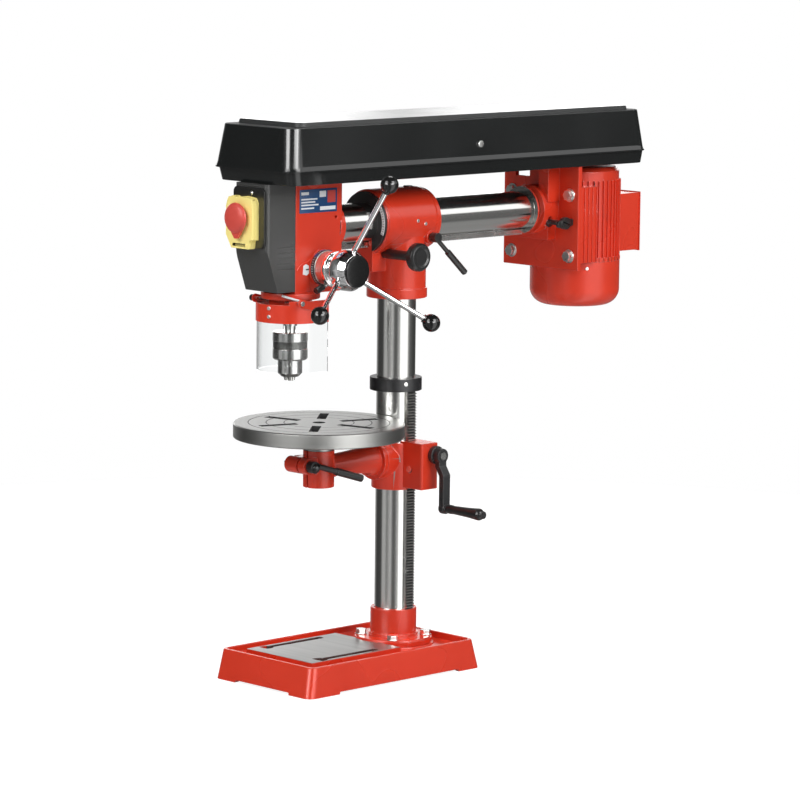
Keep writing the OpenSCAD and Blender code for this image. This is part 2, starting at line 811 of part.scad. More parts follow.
module head_plates() {
  // Rating plate, left plain, and the white pointer of the depth scale
  color([0.05, 0.20, 0.42])
    box([head_x, -220, 662], [head_x + 0.6, -148, 696.5]);
  color("white") translate([head_x, -202, feed_z - 1]) rotate([90, 0, 90])
    linear_extrude(0.6)
      polygon([[-10, -7], [-9, 6], [-2, 7], [1, 6], [1.2, -6], [-3, -8]]);
}

module front_cover() {
  wall = 2.5;
  color(black) difference() {
    intersection() {
      translate([-head_x, 0, 0]) rotate([90, 0, 90]) linear_extrude(2 * head_x)
        polygon([[cover_back, 556], [-258, 556], [cover_front, 617],
          [cover_front, pan_z - gap], [cover_back, pan_z - gap]]);
      slab(-head_x, cover_front, head_x, cover_back + 20, 6, 550, pan_z);
    }
    translate([-head_x + wall, 0, 0]) rotate([90, 0, 90])
      linear_extrude(2 * (head_x - wall))
        polygon([[cover_back + 1, 556 + wall], [-256, 556 + wall],
          [cover_front + wall, 617], [cover_front + wall, pan_z - wall],
          [cover_back + 1, pan_z - wall]]);
    // Grip ribs on both sides
    for (k = [0 : 4], s = [-1, 1])
      translate([s * head_x, cover_back, 588 + 7.6 * k])
        cube([1.6, 64, 1.6], center = true);
    // Way in for the switch's back and its buttons
    box([block_x[0] - gap, cover_front - 1, block_low - gap],
      [block_x[1] + gap, cover_front + wall + 1, block_top + gap]);
  }
}

// Front outline that the switch's frame and flap share
module switch_outline() {
  tall = sw_top - sw_low;
  half = sw_w / 2;
  translate([sw_x, sw_low])
    polygon([[-half, 14], [-half, tall - 14], [3 - half, tall - 5], [6 - half, tall],
      [-14, tall], [-8, tall - 1.8], [0, tall - 0.8], [7, tall], [14, tall - 0.6],
      [half - 4, tall - 2], [half, tall - 9], [half, 9], [half - 6, 8], [half - 8, -4],
      [11 - half, -4], [5 - half, 6]]);
}

module switch_base() {
  // Black bezel on the cover, with the yellow frame on it
  color(black) difference() {
    translate([0, cover_front, 0]) rotate([90, 0, 0]) linear_extrude(3)
      round_plate(-head_x + 1, bezel_low, head_x - 2, bezel_top, 8);
    box([block_x[0], sw_y - 1, block_low], [block_x[1], cover_front + 1, block_top]);
  }
  color("gold") difference() {
    translate([0, sw_y, 0]) rotate([90, 0, 0]) linear_extrude(sw_y - flap_y - gap)
      switch_outline();
    box([sw_x - 19, flap_y, sw_low + 6], [sw_x + 19, sw_y + 1, sw_top - 15]);
    rod_x(2.5, sw_x - sw_w / 2 - 1, sw_x + sw_w / 2 + 1, flap_pin_y, flap_pin_z);
    rod_x(4.2, sw_x - sw_w / 2 + sw_cheek, sw_x + sw_w / 2 - sw_cheek, flap_pin_y,
      flap_pin_z);
  }
  // Contact block behind the bezel
  color(black) difference() {
    box([block_x[0], sw_y, block_low], [block_x[1], block_back, block_top]);
    for (z = [start_z, stop_z])
      rod_y(button_r + fit, sw_y - 1, cover_front + 12, sw_x, z);
  }
}

module switch_flap() {
  color("gold") intersection() {
    union() {
      difference() {
        box([sw_x - sw_w / 2, flap_y - flap_t, sw_low - 4],
          [sw_x + sw_w / 2, flap_y, sw_top - 4]);
        rod_y(knob_stem_r + fit, flap_y - flap_t - 1, flap_y + 1, sw_x, knob_z);
        box([sw_x - 13, flap_y - flap_t - 1, sw_low - 1], [sw_x + 13, flap_y + 1, sw_low + 3]);
      }
      box([sw_x - sw_w / 2, flap_y - flap_t, sw_top - 5],
        [sw_x + sw_w / 2, flap_y - 0.5, sw_top - 1]);
      rod_x(2.2, sw_x - sw_w / 2, sw_x + sw_w / 2, flap_pin_y, flap_pin_z);
      box([sw_x - sw_w / 2 + sw_cheek + gap, flap_y - 2, sw_top - 4],
        [sw_x + sw_w / 2 - sw_cheek - gap, flap_pin_y, sw_top - 0.4]);
    }
    translate([0, sw_y, 0]) rotate([90, 0, 0]) linear_extrude(sw_y - flap_y + flap_t)
      switch_outline();
  }
}

module stop_knob() {
  stem = flap_t + knob_lift + 0.9;
  color("firebrick") translate([sw_x, flap_y - flap_t - knob_lift, knob_z])
    rotate([90, 0, 0]) {
      rotate_extrude()
        polygon([[0, -stem], [knob_stem_r, -stem], [knob_stem_r, 0], [knob_r - 2.5, 0],
          [knob_r, 2.5], [knob_r - 0.5, 5], [knob_r - 3, 7.5], [12, 9.5], [0, 10.5]]);
      // Tongue that narrows down to the latch
      linear_extrude(4) polygon([[-16, -10], [16, -10], [4, -28], [-2, -28]]);
    }
}

module start_button() {
  color("green") rod_y(button_r, button_face, cover_front + 7, sw_x, start_z);
}

module stop_button() {
  color("red") rod_y(button_r, button_face, cover_front + 7, sw_x, stop_z);
}

module quill() {
  pitch = PI * quill_m;
  color(steel) difference() {
    rod_z(quill_r, quill_z, quill_top, 0, spindle_y);
    rod_z(12.5, quill_z - 1, quill_top + 1, 0, spindle_y);
    for (z = [quill_z - 1, quill_top - 10])
      rod_z(14 + 0.02, z, z + 11, 0, spindle_y);
    // Rack down the back of the quill
    for (k = [-3 : 17])
      translate([-9, spindle_y + quill_r + 0.6, feed_z + (k + 0.5) * pitch])
        rotate([90, 0, 90]) linear_extrude(18)
          polygon([[-3.35, -0.5], [-3.35, 0.5], [0, 1.5], [0, -1.5]]);
  }
}

module quill_bearings() {
  color(steel) for (z = [quill_z, quill_top - 10])
    difference() {
      rod_z(14, z, z + 10, 0, spindle_y);
      rod_z(7.5, z - 1, z + 11, 0, spindle_y);
    }
}

module spindle() {
  color(steel) {
    rod_z(7.45, sleeve_top, quill_top + 4, 0, spindle_y);
    rod_z(9.5, sleeve_top + 8, quill_z - gap, 0, spindle_y);
    rod_z(9.5, quill_top + gap, quill_top + 4, 0, spindle_y);
    translate([0, spindle_y, quill_top + 4]) linear_extrude(spindle_top - quill_top - 4)
      gear_outline(1, 12, 0);
    // Taper that holds the chuck
    translate([0, spindle_y, sleeve_top - 22]) cylinder(r1 = 6.4, r2 = 7.3, h = 22.5);
  }
}

module jaw_rod(k, r, low, high) {
  translate([0, spindle_y, chuck_tip])
    rotate([0, 0, 90 + 120 * k])
      translate([jaw_tip_r, 0, 0])
        rotate([0, jaw_lean, 0])
          translate([0, 0, low]) cylinder(r = r, h = high - low);
}

module chuck_body() {
  color(steel) difference() {
    translate([0, spindle_y, 0]) rotate_extrude()
      polygon([[0, body_low + 1], [9, body_low], [12, body_low], [17, body_low + 5],
        [17, sleeve_low - 3], [18.9, sleeve_low - 1], [18.9, sleeve_top - 1],
        [17, sleeve_top], [0, sleeve_top]]);
    translate([0, spindle_y, sleeve_top - 23]) cylinder(r1 = 6.45, r2 = 7.4, h = 24);
    for (k = [0 : 2]) jaw_rod(k, jaw_r + 0.1, 0, 75);
    for (a = [-45 : 120 : 255])
      translate([0, spindle_y, 452]) rotate([0, 90, a])
        translate([0, 0, 12]) cylinder(r = 2.9, h = 8);
    rod_z(9, body_low - 1, body_low + 3, 0, spindle_y);
  }
}

module chuck_sleeve() {
  color(steel) difference() {
    translate([0, spindle_y, 0]) rotate_extrude(convexity = 4)
      polygon([[19.2, sleeve_low - 3], [22, sleeve_low - 3], [chuck_r, sleeve_low - 0.5],
        [chuck_r, sleeve_low], [chuck_r, 473.5], [chuck_r - 0.5, 474],
        [chuck_r - 0.5, 484], [chuck_r, 484.5], [chuck_r, sleeve_top - 1],
        [chuck_r - 1, sleeve_top - gap], [19.2, sleeve_top - gap],
        [19.2, sleeve_top - 2], [22.4, sleeve_top - 5], [22.4, sleeve_low + 4],
        [19.2, sleeve_low + 1]]);
    for (k = [0 : knurl_teeth - 1])
      translate([0, spindle_y, sleeve_low - 3.5]) rotate([0, 0, k * 360 / knurl_teeth])
        translate([19.5, -1, 0]) cube([6, 2, 2.6]);
  }
}

module jaw(k) {
  color(steel) intersection() {
    jaw_rod(k, jaw_r, -1, 33);
    translate([0, spindle_y, chuck_tip]) rotate([0, 0, 90 + 120 * k])
      linear_extrude(40)
        polygon([[0.25, 0], [30, -50], [30, 50]]);
  }
}
module chuck_jaw_1() { jaw(0); }
module chuck_jaw_2() { jaw(1); }
module chuck_jaw_3() { jaw(2); }

module feed_shaft() {
  color(steel) {
    translate([-8.5, feed_y, feed_z]) rotate([0, 90, 0]) linear_extrude(17)
      gear_outline(quill_m, quill_teeth);
    rod_x(feed_shaft_r, cup_x - cup_depth + 2.2, hub_x + 40, feed_y, feed_z);
    rod_x(feed_end_r, cup_x - cup_depth - 6, cup_x, feed_y, feed_z);
  }
}

module feed_hub() {
  color(steel) difference() {
    translate([0, feed_y, feed_z]) rotate([0, 90, 0]) rotate_extrude()
      polygon([[0, hub_x + 21], [25, hub_x + 21], [25, hub_x + 27], [21, hub_x + 28],
        [22, hub_x + 32], [hub_r, hub_x + 41], [hub_r, hub_end - 10], [22.5, hub_end],
        [0, hub_end]]);
    rod_x(feed_shaft_r + 0.02, hub_x + 20, hub_x + 40, feed_y, feed_z);
    for (k = [0 : 2]) at_spoke(k)
      translate([0, 3.3, 0]) rotate([-90, 0, 0]) cylinder(r = spoke_r + 0.02, h = 12);
  }
}

module feed_cap() {
  color(black) translate([hub_end, feed_y, feed_z]) rotate([0, 90, 0])
    rotate_extrude()
      polygon([[0, 0], [22.5, 0], [22.5, 2], [21, 3.5], [14, 4.5], [0, 5]]);
}

// Place of spoke k: along its rod from the hub, ending at its ball
module at_spoke(k) {
  lean = atan((ball_x - spoke_x) / (spoke_reach - spoke_root));
  translate([spoke_x, feed_y, feed_z])
    rotate([83 + 120 * k, 0, 0])
      translate([0, spoke_root, 0])
        rotate([0, 0, -lean]) children();
}

module feed_spokes() {
  color(steel) for (k = [0 : 2]) at_spoke(k)
    translate([0, 3.4, 0]) rotate([-90, 0, 0])
      cylinder(r = spoke_r, h = spoke_l - ball_r - 4);
}

module feed_knobs() {
  color(black) for (k = [0 : 2]) at_spoke(k)
    rotate([-90, 0, 0]) rotate_extrude() {
      translate([0, spoke_l]) intersection() {
        circle(ball_r);
        translate([0, -ball_r]) square(2 * ball_r);
      }
      translate([0, spoke_l - ball_r - 0.5]) square([6, 3]);
    }
}

module depth_ring() {
  color(black) difference() {
    rod_x(25, hub_x, hub_x + 7, feed_y, feed_z);
    rod_x(feed_shaft_r + fit, hub_x - 1, hub_x + 8, feed_y, feed_z);
  }
  color(red) difference() {
    rod_x(23.5, hub_x + 7, hub_x + 20.7, feed_y, feed_z);
    rod_x(feed_shaft_r + fit, hub_x + 6, hub_x + 22, feed_y, feed_z);
    translate([hub_x + 13, feed_y, feed_z]) rotate([160, 0, 0])
      cylinder(r = 3 + fit, h = 30);
  }
}

module depth_lock() {
  elbow = 24;
  turn = -48;
  translate([hub_x + 13, feed_y, feed_z]) rotate([160, 0, 0]) {
    color(steel) {
      translate([0, 0, 9]) cylinder(r = 3, h = elbow - 9);
      translate([0, 0, elbow]) sphere(3);
      translate([0, 0, elbow]) rotate([turn, 0, 0]) cylinder(r = 2.6, h = 10);
    }
    color(black) translate([0, 0, elbow]) rotate([turn, 0, 0]) translate([0, 0, 5])
      cylinder(r = 4.6, h = 14.5);
  }
}

module return_spring() {
  // Cup on the head's left side, the flat coil in it and the nut that holds it
  wall = 1.5;
  strip = 0.7;
  turns = 5;
  count = turns * 24;
  coil_in = feed_shaft_r + gap;
  coil_out = cup_r - wall - gap - strip;
  color(black) difference() {
    rod_x(cup_r, cup_x - cup_depth, cup_x, feed_y, feed_z);
    rod_x(cup_r - wall, cup_x - cup_depth + wall, cup_x + 1, feed_y, feed_z);
    rod_x(feed_end_r + fit, cup_x - cup_depth - 1, cup_x, feed_y, feed_z);
  }
  color(steel) {
    translate([cup_x - cup_depth + 3.5, feed_y, feed_z]) rotate([0, 90, 0])
      linear_extrude(8)
        polygon([for (side = [0, 1], k = [0 : count])
          let (n = side == 0 ? k : count - k, a = n * 360 / 24,
            r = coil_in + (coil_out - coil_in) * n / count + side * strip)
            [r * cos(a), r * sin(a)]]);
    difference() {
      translate([cup_x - cup_depth - 5.5, feed_y, feed_z]) rotate([0, 90, 0])
        cylinder(r = 9, h = 5.2, $fn = 6);
      rod_x(feed_end_r + fit, cup_x - cup_depth - 6, cup_x, feed_y, feed_z);
    }
  }
}

// Outline of the guard: round in front, open behind
module guard_outline(r, t) {
  back = 28;
  difference() {
    union() {
      circle(r);
      translate([-r, 0]) square([2 * r, back]);
    }
    circle(r - t);
    translate([-r + t, 0]) square([2 * (r - t), back + r]);
  }
}

module guard_band() {
  color(red) {
    // Lower in front, where it swings up under the cover
    difference() {
      translate([0, spindle_y, band_low]) linear_extrude(31) guard_outline(guard_r, 1.6);
      box([-head_x - 1, spindle_y - guard_r - 1, band_low + 25.5],
        [head_x + 1, spindle_y, band_low + 32]);
      rod_x(guard_pin_r + fit, -guard_r - 1, guard_r + 1, guard_pin_y, guard_pin_z);
    }
    for (s = [-1, 1]) difference() {
      hull() {
        rod_x(6, min(s * guard_r, s * (guard_r - 1.6)), max(s * guard_r, s * (guard_r - 1.6)),
          guard_pin_y, guard_pin_z, $fn = 32);
        box([min(s * guard_r, s * (guard_r - 1.6)), spindle_y - 2, 530],
          [max(s * guard_r, s * (guard_r - 1.6)), spindle_y + 22, 536]);
      }
      rod_x(guard_pin_r + fit, -guard_r - 1, guard_r + 1, guard_pin_y, guard_pin_z);
    }
  }
  // Screws that hold the shield
  color(zinc) for (z = [521.5, 533])
    translate([0, spindle_y, z]) rotate([0, 90, -80])
      translate([0, 0, guard_r - 1]) cylinder(r = 2.6, h = 2.6);
}

module guard_shield() {
  color([0.85, 0.9, 0.92, 0.35]) translate([0, spindle_y, 443.6])
    linear_extrude(92) guard_outline(guard_r - 1.62, 2);
}

module guard_pin() {
  color(steel) {
    rod_x(guard_pin_r, -guard_r - 3, guard_r + 1.5, guard_pin_y, guard_pin_z);
    rod_x(3.6, guard_r + gap, guard_r + 2.5, guard_pin_y, guard_pin_z);
  }
  color(black) rod_x(4.5, -guard_r - 7, -guard_r - gap, guard_pin_y, guard_pin_z);
}

module cover_pan() {
  front = lid_front;
  back = lid_back + 4;
  top = lip_z - gap;
  color(black) difference() {
    union() {
      difference() {
        draft_block(lip_x - 6, front, back, pan_z, lip_x - 4, front - 4, back + 2, top, 16);
        hull() {
          slab(-lip_x + 6.5, front - 1.5, lip_x - 6.5, back - 0.5, 14,
            lip_z, lip_z + 1, $fn = 32);
          slab(-lip_x + 8.5, front + 2.5, lip_x - 8.5, back - 2.5, 14,
            pan_z + 2.5, pan_z + 3, $fn = 32);
        }
      }
      for (y = hinge_y, s = [-1, 1])
        rod_y(3.4, y + 10 * s - 5, y + 10 * s + 5, hinge_x, lip_z);
      for (y = hinge_y, s = [-1, 1])
        box([hinge_x, y + 10 * s - 5, lip_z - 3.4],
          [-lip_x + 6, y + 10 * s + 5, lip_z - 1.6]);
    }
    for (y = hinge_y) rod_y(1.5 + fit, y - 16, y + 16, hinge_x, lip_z);
    rod_z(20, pan_z - 1, pan_z + 4, 0, spindle_y);
    hull() for (y = [motor_reach - 10, motor_reach + 2])
      rod_z(13, pan_z - 1, pan_z + 4, 0, y, $fn = 32);
  }
  color(steel) for (y = hinge_y)
    rod_y(1.5, y - 15, y + 15, hinge_x, lip_z);
}

module cover_lid() {
  front = lid_front;
  back = lid_back;
  wall = 2.2;
  color(black) difference() {
    union() {
      difference() {
        union() {
          draft_block(lid_x + 7.5, front - 7.5, back + 6, lip_z + 4,
            lid_x, front, back, lid_z, 18);
          slab(-lip_x, front - 9.6, lip_x, back + 7.8, 20, lip_z, lip_z + 2);
          draft_block(lip_x, front - 9.6, back + 7.8, lip_z + 2,
            lid_x + 7, front - 7, back + 5.5, lip_z + 8, 20);
          draft_block(lid_x - 7.5, front + 21, back - 17.5, lid_z - 1,
            lid_x - 8.5, front + 23, back - 19, top_z, 12);
        }
        draft_block(lid_x + 7.5 - wall, front - 7.5 + wall, back + 6 - wall, lip_z - 1,
          lid_x - wall, front + wall, back - wall, lid_z - wall, 16);
      }
      for (y = hinge_y)
        rod_y(3.4, y - 4.7, y + 4.7, hinge_x, lip_z);
      for (y = hinge_y)
        box([hinge_x, y - 4.7, lip_z + 0.2], [-lip_x + 2, y + 4.7, lip_z + 2]);
    }
    for (y = hinge_y) rod_y(1.5 + fit, y - 16, y + 16, hinge_x, lip_z);
    rod_x(2.5, lid_x - 6, lip_x, 85, 748);
  }
  // Catch screw on the right side
  color(zinc) {
    rod_x(2.4, lid_x, lid_x + 5, 85, 748);
    rod_x(5, lid_x + 4.9, lid_x + 7.5, 85, 748);
  }
}

// Stepped pulley: its largest step first when down is true
module step_pulley(y, down, bore) {
  translate([0, y, belt_z0]) rotate_extrude()
    difference() {
      for (k = [0 : steps - 1])
        let (n = down ? steps - 1 - k : k,
          r = step_small + (step_big - step_small) * n / (steps - 1))
          translate([0, k * step_h]) difference() {
            square([r, step_h + (k < steps - 1 ? e : 0)]);
            polygon([[r + 0.1, 1], [r + 0.1, step_h - 1], [r - groove, step_h / 2 + 2],
              [r - groove, step_h / 2 - 2]]);
          }
      translate([-1, -1]) square([1 + bore, steps * step_h + 2]);
    }
}

module spindle_pulley() {
  spline_r = 7.2;
  color(steel) step_pulley(spindle_y, true, 12);
  // Sleeve that the splines slide in, running in the head's top
  color(iron) difference() {
    rod_z(11.98, pan_z - 21, belt_z0 + steps * step_h + 2, 0, spindle_y);
    rod_z(spline_r, pan_z - 22, belt_z0 + steps * step_h + 3, 0, spindle_y);
  }
  color(steel) difference() {
    rod_z(17, pan_z - 21, pan_z - 4, 0, spindle_y);
    rod_z(11.98, pan_z - 22, pan_z - 3, 0, spindle_y);
  }
}

module belt_section() {
  polygon([[belt_r, -3.1], [belt_r + belt_t, -5], [belt_r + belt_t, 5], [belt_r, 3.1]]);
}

module drive_belt() {
  z = belt_z0 + (belt_step + 0.5) * step_h;
  color([0.16, 0.15, 0.14]) {
    for (end = [0, 1])
      translate([0, belt_y[end], z]) rotate([0, 0, end == 0 ? 180 : 0])
        rotate_extrude(angle = 180)
          belt_section();
    for (s = [0, 1])
      mirror([s, 0, 0]) translate([0, belt_y[1], z]) rotate([90, 0, 0])
        linear_extrude(belt_y[1] - belt_y[0])
          belt_section();
  }
}

module motor_mount() {
  back = plate_y + plate_t;
  color(red) difference() {
    union() {
      rod_y(ram_r + 8.4, mount_front, back, 0, ram_z);
      box([-plate_x, plate_y, plate_low], [plate_x, back, pan_z - gap]);
      // Rib up to the pan, and the web under the ring
      box([17, mount_front + 6, ram_z + 12], [37, plate_y + 1, pan_z - gap]);
      box([-30, mount_front + 14, ram_z - 44], [30, plate_y + 1, ram_z - 20]);
    }
    rod_y(ram_r + fit, mount_front - 1, back + 1, 0, ram_z);
    box([-52, plate_y - 1, pan_z - 20], [-24, back + 1, pan_z - 3]);
    for (x = [-motor_bolt_x, motor_bolt_x], z = motor_bolt_z)
      rod_y(5.2, plate_y - 1, back + 1, x, z);
    rod_x(3, ram_r - 2, ram_r + 12, mount_front + 14, ram_z - 12);
  }
  // Grub screw, and the wing knob that locks the slide on the tube
  color(black) {
    translate([0, mount_front + 14, ram_z]) rotate([0, 30, 0])
      rod_x(5.5, ram_r + 8, ram_r + 13.5, 0, 0);
    rod_x(4, ram_r + 6, wing_x, wing_y, wing_z);
    rod_x(9, wing_x - 4, wing_x + 4, wing_y, wing_z);
    hull() for (s = [-1, 1])
      rod_x(5.5, wing_x - 2.5, wing_x + 2.5, wing_y + s * 11, wing_z + s, $fn = 32);
  }
}

module motor_bolts() {
  color(zinc) for (x = [-motor_bolt_x, motor_bolt_x], z = motor_bolt_z)
    translate([x, plate_y, z]) rotate([90, 0, 0]) {
      hex_head(8, 6, 10);
      translate([0, 0, -plate_t - 12]) cylinder(r = 4.9, h = plate_t + 12.5);
    }
}

module motor_frame() {
  fins = 48;
  back = plate_y + plate_t;
  color(red) difference() {
    union() {
      rod_z(motor_r - 3, frame_low, frame_top, 0, motor_reach);
      rod_z(motor_r, frame_low, frame_low + 6, 0, motor_reach);
      translate([0, motor_reach, frame_low]) linear_extrude(frame_top - frame_low)
        for (k = [0 : fins - 1])
          rotate(k * 360 / fins) translate([motor_r - 5, -1]) square([5, 2]);
      // Feet against the mount's plate
      for (s = [-1, 1])
        box([s * motor_bolt_x - 10, back, motor_bolt_z[0] - 11],
          [s * motor_bolt_x + 10, motor_reach - 25, motor_bolt_z[1] + 11]);
      // Upper end bell
      translate([0, motor_reach, frame_top - 1]) rotate_extrude()
        polygon([[0, 0], [motor_r - 3, 0], [motor_r - 3, 14], [motor_r - 8, 20],
          [24, 22], [20, 23.5], [0, 23.5]]);
      // Terminal box on the back
      slab(-32, motor_reach + motor_r - 12, 32, motor_reach + 105.5, 4, 571, 656);
    }
    rod_z(motor_r - 8, frame_low - 1, frame_top + 8, 0, motor_reach);
    rod_z(shaft_r + fit, frame_top, pan_z, 0, motor_reach);
    slab(-29, motor_reach + motor_r + 2, 29, motor_reach + 102.5, 3, 574, 653);
    for (x = [-motor_bolt_x, motor_bolt_x], z = motor_bolt_z)
      rod_y(5, back - 1, back + 12, x, z);
  }
  // Wound stator inside the frame
  color(iron) difference() {
    rod_z(motor_r - 8.05, stator_low, stator_top, 0, motor_reach);
    rod_z(motor_r - 33.2, stator_low - 1, stator_top + 1, 0, motor_reach);
  }
  color([0.65, 0.35, 0.15]) for (z = [stator_low - winding_h, stator_top])
    difference() {
      rod_z(motor_r - 14.2, z, z + winding_h, 0, motor_reach);
      rod_z(motor_r - 30.2, z - 1, z + winding_h + 1, 0, motor_reach);
    }
}

module motor_cap() {
  round_r = 24;
  h = frame_low - motor_z;
  color(red) difference() {
    translate([0, motor_reach, motor_z]) rotate_extrude() {
      square([motor_r - round_r, round_r + 1]);
      translate([0, round_r]) square([motor_r, h - round_r]);
      intersection() {
        translate([motor_r - round_r, round_r]) circle(round_r);
        translate([motor_r - round_r, 0]) square([round_r, round_r]);
      }
    }
    rod_z(motor_r - 4, motor_z + 26, frame_low + 1, 0, motor_reach);
    rod_z(motor_r - 26, motor_z + 4, motor_z + 27, 0, motor_reach);
  }
  // Lower bearing's bracket
  color(iron) difference() {
    rod_z(motor_r - 4.05, frame_low - 8, frame_low - 1, 0, motor_reach);
    rod_z(shaft_r + fit, frame_low - 9, frame_low, 0, motor_reach);
  }
}

module motor_rotor() {
  color(steel) {
    rod_z(shaft_r, motor_z + 20, belt_z0 + steps * step_h + 3, 0, motor_reach);
    rod_z(motor_r - 34.2, stator_low + 2, stator_top - 2, 0, motor_reach);
    step_pulley(motor_reach, false, shaft_r + 0.02);
  }
  // Cooling fan under the lower bearing
  color(black) {
    difference() {
      rod_z(50, frame_low - 14, frame_low - 11, 0, motor_reach);
      rod_z(shaft_r + 0.02, frame_low - 15, frame_low - 10, 0, motor_reach);
    }
    for (k = [0 : 7])
      translate([0, motor_reach, frame_low - 30]) rotate([0, 0, 45 * k])
        translate([16, -1, 0]) cube([32, 2, 17]);
  }
}

base();
column_flange();
flange_bolts();
column();
rack_collar();
column_rack();
table_bracket();
bracket_lock();
lift_pinion();
lift_worm();
crank();
crank_grip();
table_arm();
tilt_bolt();
table();
table_clamp();
turret();
tilt_scale();
turret_lock();
ram_pinion();
ram_knob();
ram_lock();
ram_rack();
ram_tube();
head();
head_plates();
front_cover();
switch_base();
switch_flap();
stop_knob();
start_button();
stop_button();
quill();
quill_bearings();
spindle();
chuck_body();
chuck_sleeve();
chuck_jaw_1();
chuck_jaw_2();
chuck_jaw_3();
feed_shaft();
feed_hub();
feed_cap();
feed_spokes();
feed_knobs();
depth_ring();
depth_lock();
return_spring();
guard_band();
guard_shield();
guard_pin();
cover_pan();
cover_lid();
spindle_pulley();
drive_belt();
motor_mount();
motor_bolts();
motor_frame();
motor_cap();
motor_rotor();
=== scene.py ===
"""Looks of the bench radial arm drill: finishes, small fittings, floor, light and camera."""

import json
import logging
import math
from collections.abc import Callable, Sequence
from dataclasses import dataclass, field
from enum import Enum

import bmesh
import bpy
from bmesh.types import BMEdge, BMesh, BMVert
from bpy.types import Material, Mesh, Node, NodeInputs, NodeOutputs, NodeSocket, NodeTree, Object
from mathutils import Matrix, Vector

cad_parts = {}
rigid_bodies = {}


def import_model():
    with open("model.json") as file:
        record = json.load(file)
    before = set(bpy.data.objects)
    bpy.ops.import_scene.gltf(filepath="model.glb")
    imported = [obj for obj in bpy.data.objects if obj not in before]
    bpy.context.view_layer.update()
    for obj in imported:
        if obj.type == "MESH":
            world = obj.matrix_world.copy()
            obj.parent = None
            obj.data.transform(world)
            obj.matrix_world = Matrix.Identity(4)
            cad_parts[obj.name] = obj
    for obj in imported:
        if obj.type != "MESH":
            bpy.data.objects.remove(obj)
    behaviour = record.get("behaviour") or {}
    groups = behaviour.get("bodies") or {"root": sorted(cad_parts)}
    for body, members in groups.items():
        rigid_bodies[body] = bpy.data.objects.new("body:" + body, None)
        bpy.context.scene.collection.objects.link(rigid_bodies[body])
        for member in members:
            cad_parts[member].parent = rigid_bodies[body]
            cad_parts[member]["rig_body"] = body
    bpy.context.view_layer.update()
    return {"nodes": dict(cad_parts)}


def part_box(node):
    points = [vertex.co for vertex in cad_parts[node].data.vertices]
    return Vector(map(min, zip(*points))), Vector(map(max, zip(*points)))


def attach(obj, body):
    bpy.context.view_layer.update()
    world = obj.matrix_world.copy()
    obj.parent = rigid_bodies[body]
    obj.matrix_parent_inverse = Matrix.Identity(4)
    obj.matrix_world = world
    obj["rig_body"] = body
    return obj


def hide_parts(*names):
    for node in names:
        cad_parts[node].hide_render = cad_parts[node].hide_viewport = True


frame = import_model()
LOG = logging.getLogger("radial_drill")
MM = 0.001
SPINDLE_Y = -204.2
RAM_Z = 640.3
FEED = (-176.0, 586.5)
MOTOR_Y = 366.3
EDGE_ANGLE = math.radians(32)
EDGE_SHARE = 0.42
LEAST_ROUNDING = 0.12
END_SHARE = 0.55
END_INSET = 0.45
SHARP_ANGLE = math.radians(38)
SAME_PLANE = math.radians(0.6)
PHOTO_SIDE = 800.0
FILM = 36.0
LAMP_AIM = 0.4

Colour = tuple[float, float, float]
Point = tuple[float, float, float]


class Grain(Enum):
    """How the tool marks of a metal run."""

    NONE = 0
    ALONG_X = 1
    ALONG_Y = 2
    ALONG_Z = 3
    TURNED = 4


class Axis(Enum):
    """An axis of the row frame."""

    X = 0
    Y = 1
    Z = 2

    def turn(self) -> Matrix:
        """The turn that takes +Z to this axis."""
        if self is Axis.X:
            return Matrix.Rotation(math.pi / 2, 4, "Y")
        if self is Axis.Y:
            return Matrix.Rotation(-math.pi / 2, 4, "X")
        return Matrix.Identity(4)


# Shader node groups


class Graph:
    """A node tree with short calls for adding nodes and links."""

    def __init__(self, tree: NodeTree) -> None:
        """Args: tree: the tree to build in."""
        self.tree = tree

    def feed(self, socket: NodeSocket, value: object) -> None:
        """Links a socket into another, or sets the other's own value."""
        if isinstance(value, NodeSocket):
            self.tree.links.new(value, socket)
        else:
            socket.default_value = value

    def add(self, kind: str, **values: object) -> Node:
        """Adds a node.

        Args:
            kind: the node's type name.
            values: properties of the node, or its inputs by name with _ for a space, each
                given as a value or as the socket that feeds it.

        Returns:
            The new node.
        """
        node = self.tree.nodes.new(kind)
        for key, value in values.items():
            if hasattr(node, key):
                setattr(node, key, value)
            else:
                self.feed(node.inputs[key.replace("_", " ")], value)
        return node

    def operate(self, kind: str, operation: str, *operands: object) -> Node:
        """Adds a node whose operands go into its inputs in turn.

        Args:
            kind: ShaderNodeMath or ShaderNodeVectorMath.
            operation: the node's operation.
            operands: sockets or values.

        Returns:
            The new node.
        """
        node = self.add(kind, operation=operation)
        for socket, value in zip(node.inputs, operands):
            self.feed(socket, value)
        return node

    def math(self, operation: str, a: object, b: object = 0.0) -> NodeSocket:
        """The result of a Math node on two operands."""
        return self.operate("ShaderNodeMath", operation, a, b).outputs[0]

    def vector(self, operation: str, *operands: object) -> Node:
        """A Vector Math node on its operands."""
        return self.operate("ShaderNodeVectorMath", operation, *operands)

    def ranged(self, value: object, low: float, high: float, to_low: float = 0.0,
               to_high: float = 1.0) -> NodeSocket:
        """A value's range mapped onto another, and held at its ends."""
        node = self.add("ShaderNodeMapRange", Value=value, From_Min=low, From_Max=high,
                        To_Min=to_low, To_Max=to_high)
        return node.outputs["Result"]

    def mixed(self, factor: object, low: object, high: object) -> NodeSocket:
        """A value between two values."""
        return self.add("ShaderNodeMix", Factor=factor, A=low, B=high).outputs["Result"]

    def ends(self) -> tuple[NodeOutputs, NodeInputs]:
        """The sockets that a group's inputs come from, and those that its results go to."""
        return self.tree.nodes["in"].outputs, self.tree.nodes["out"].inputs


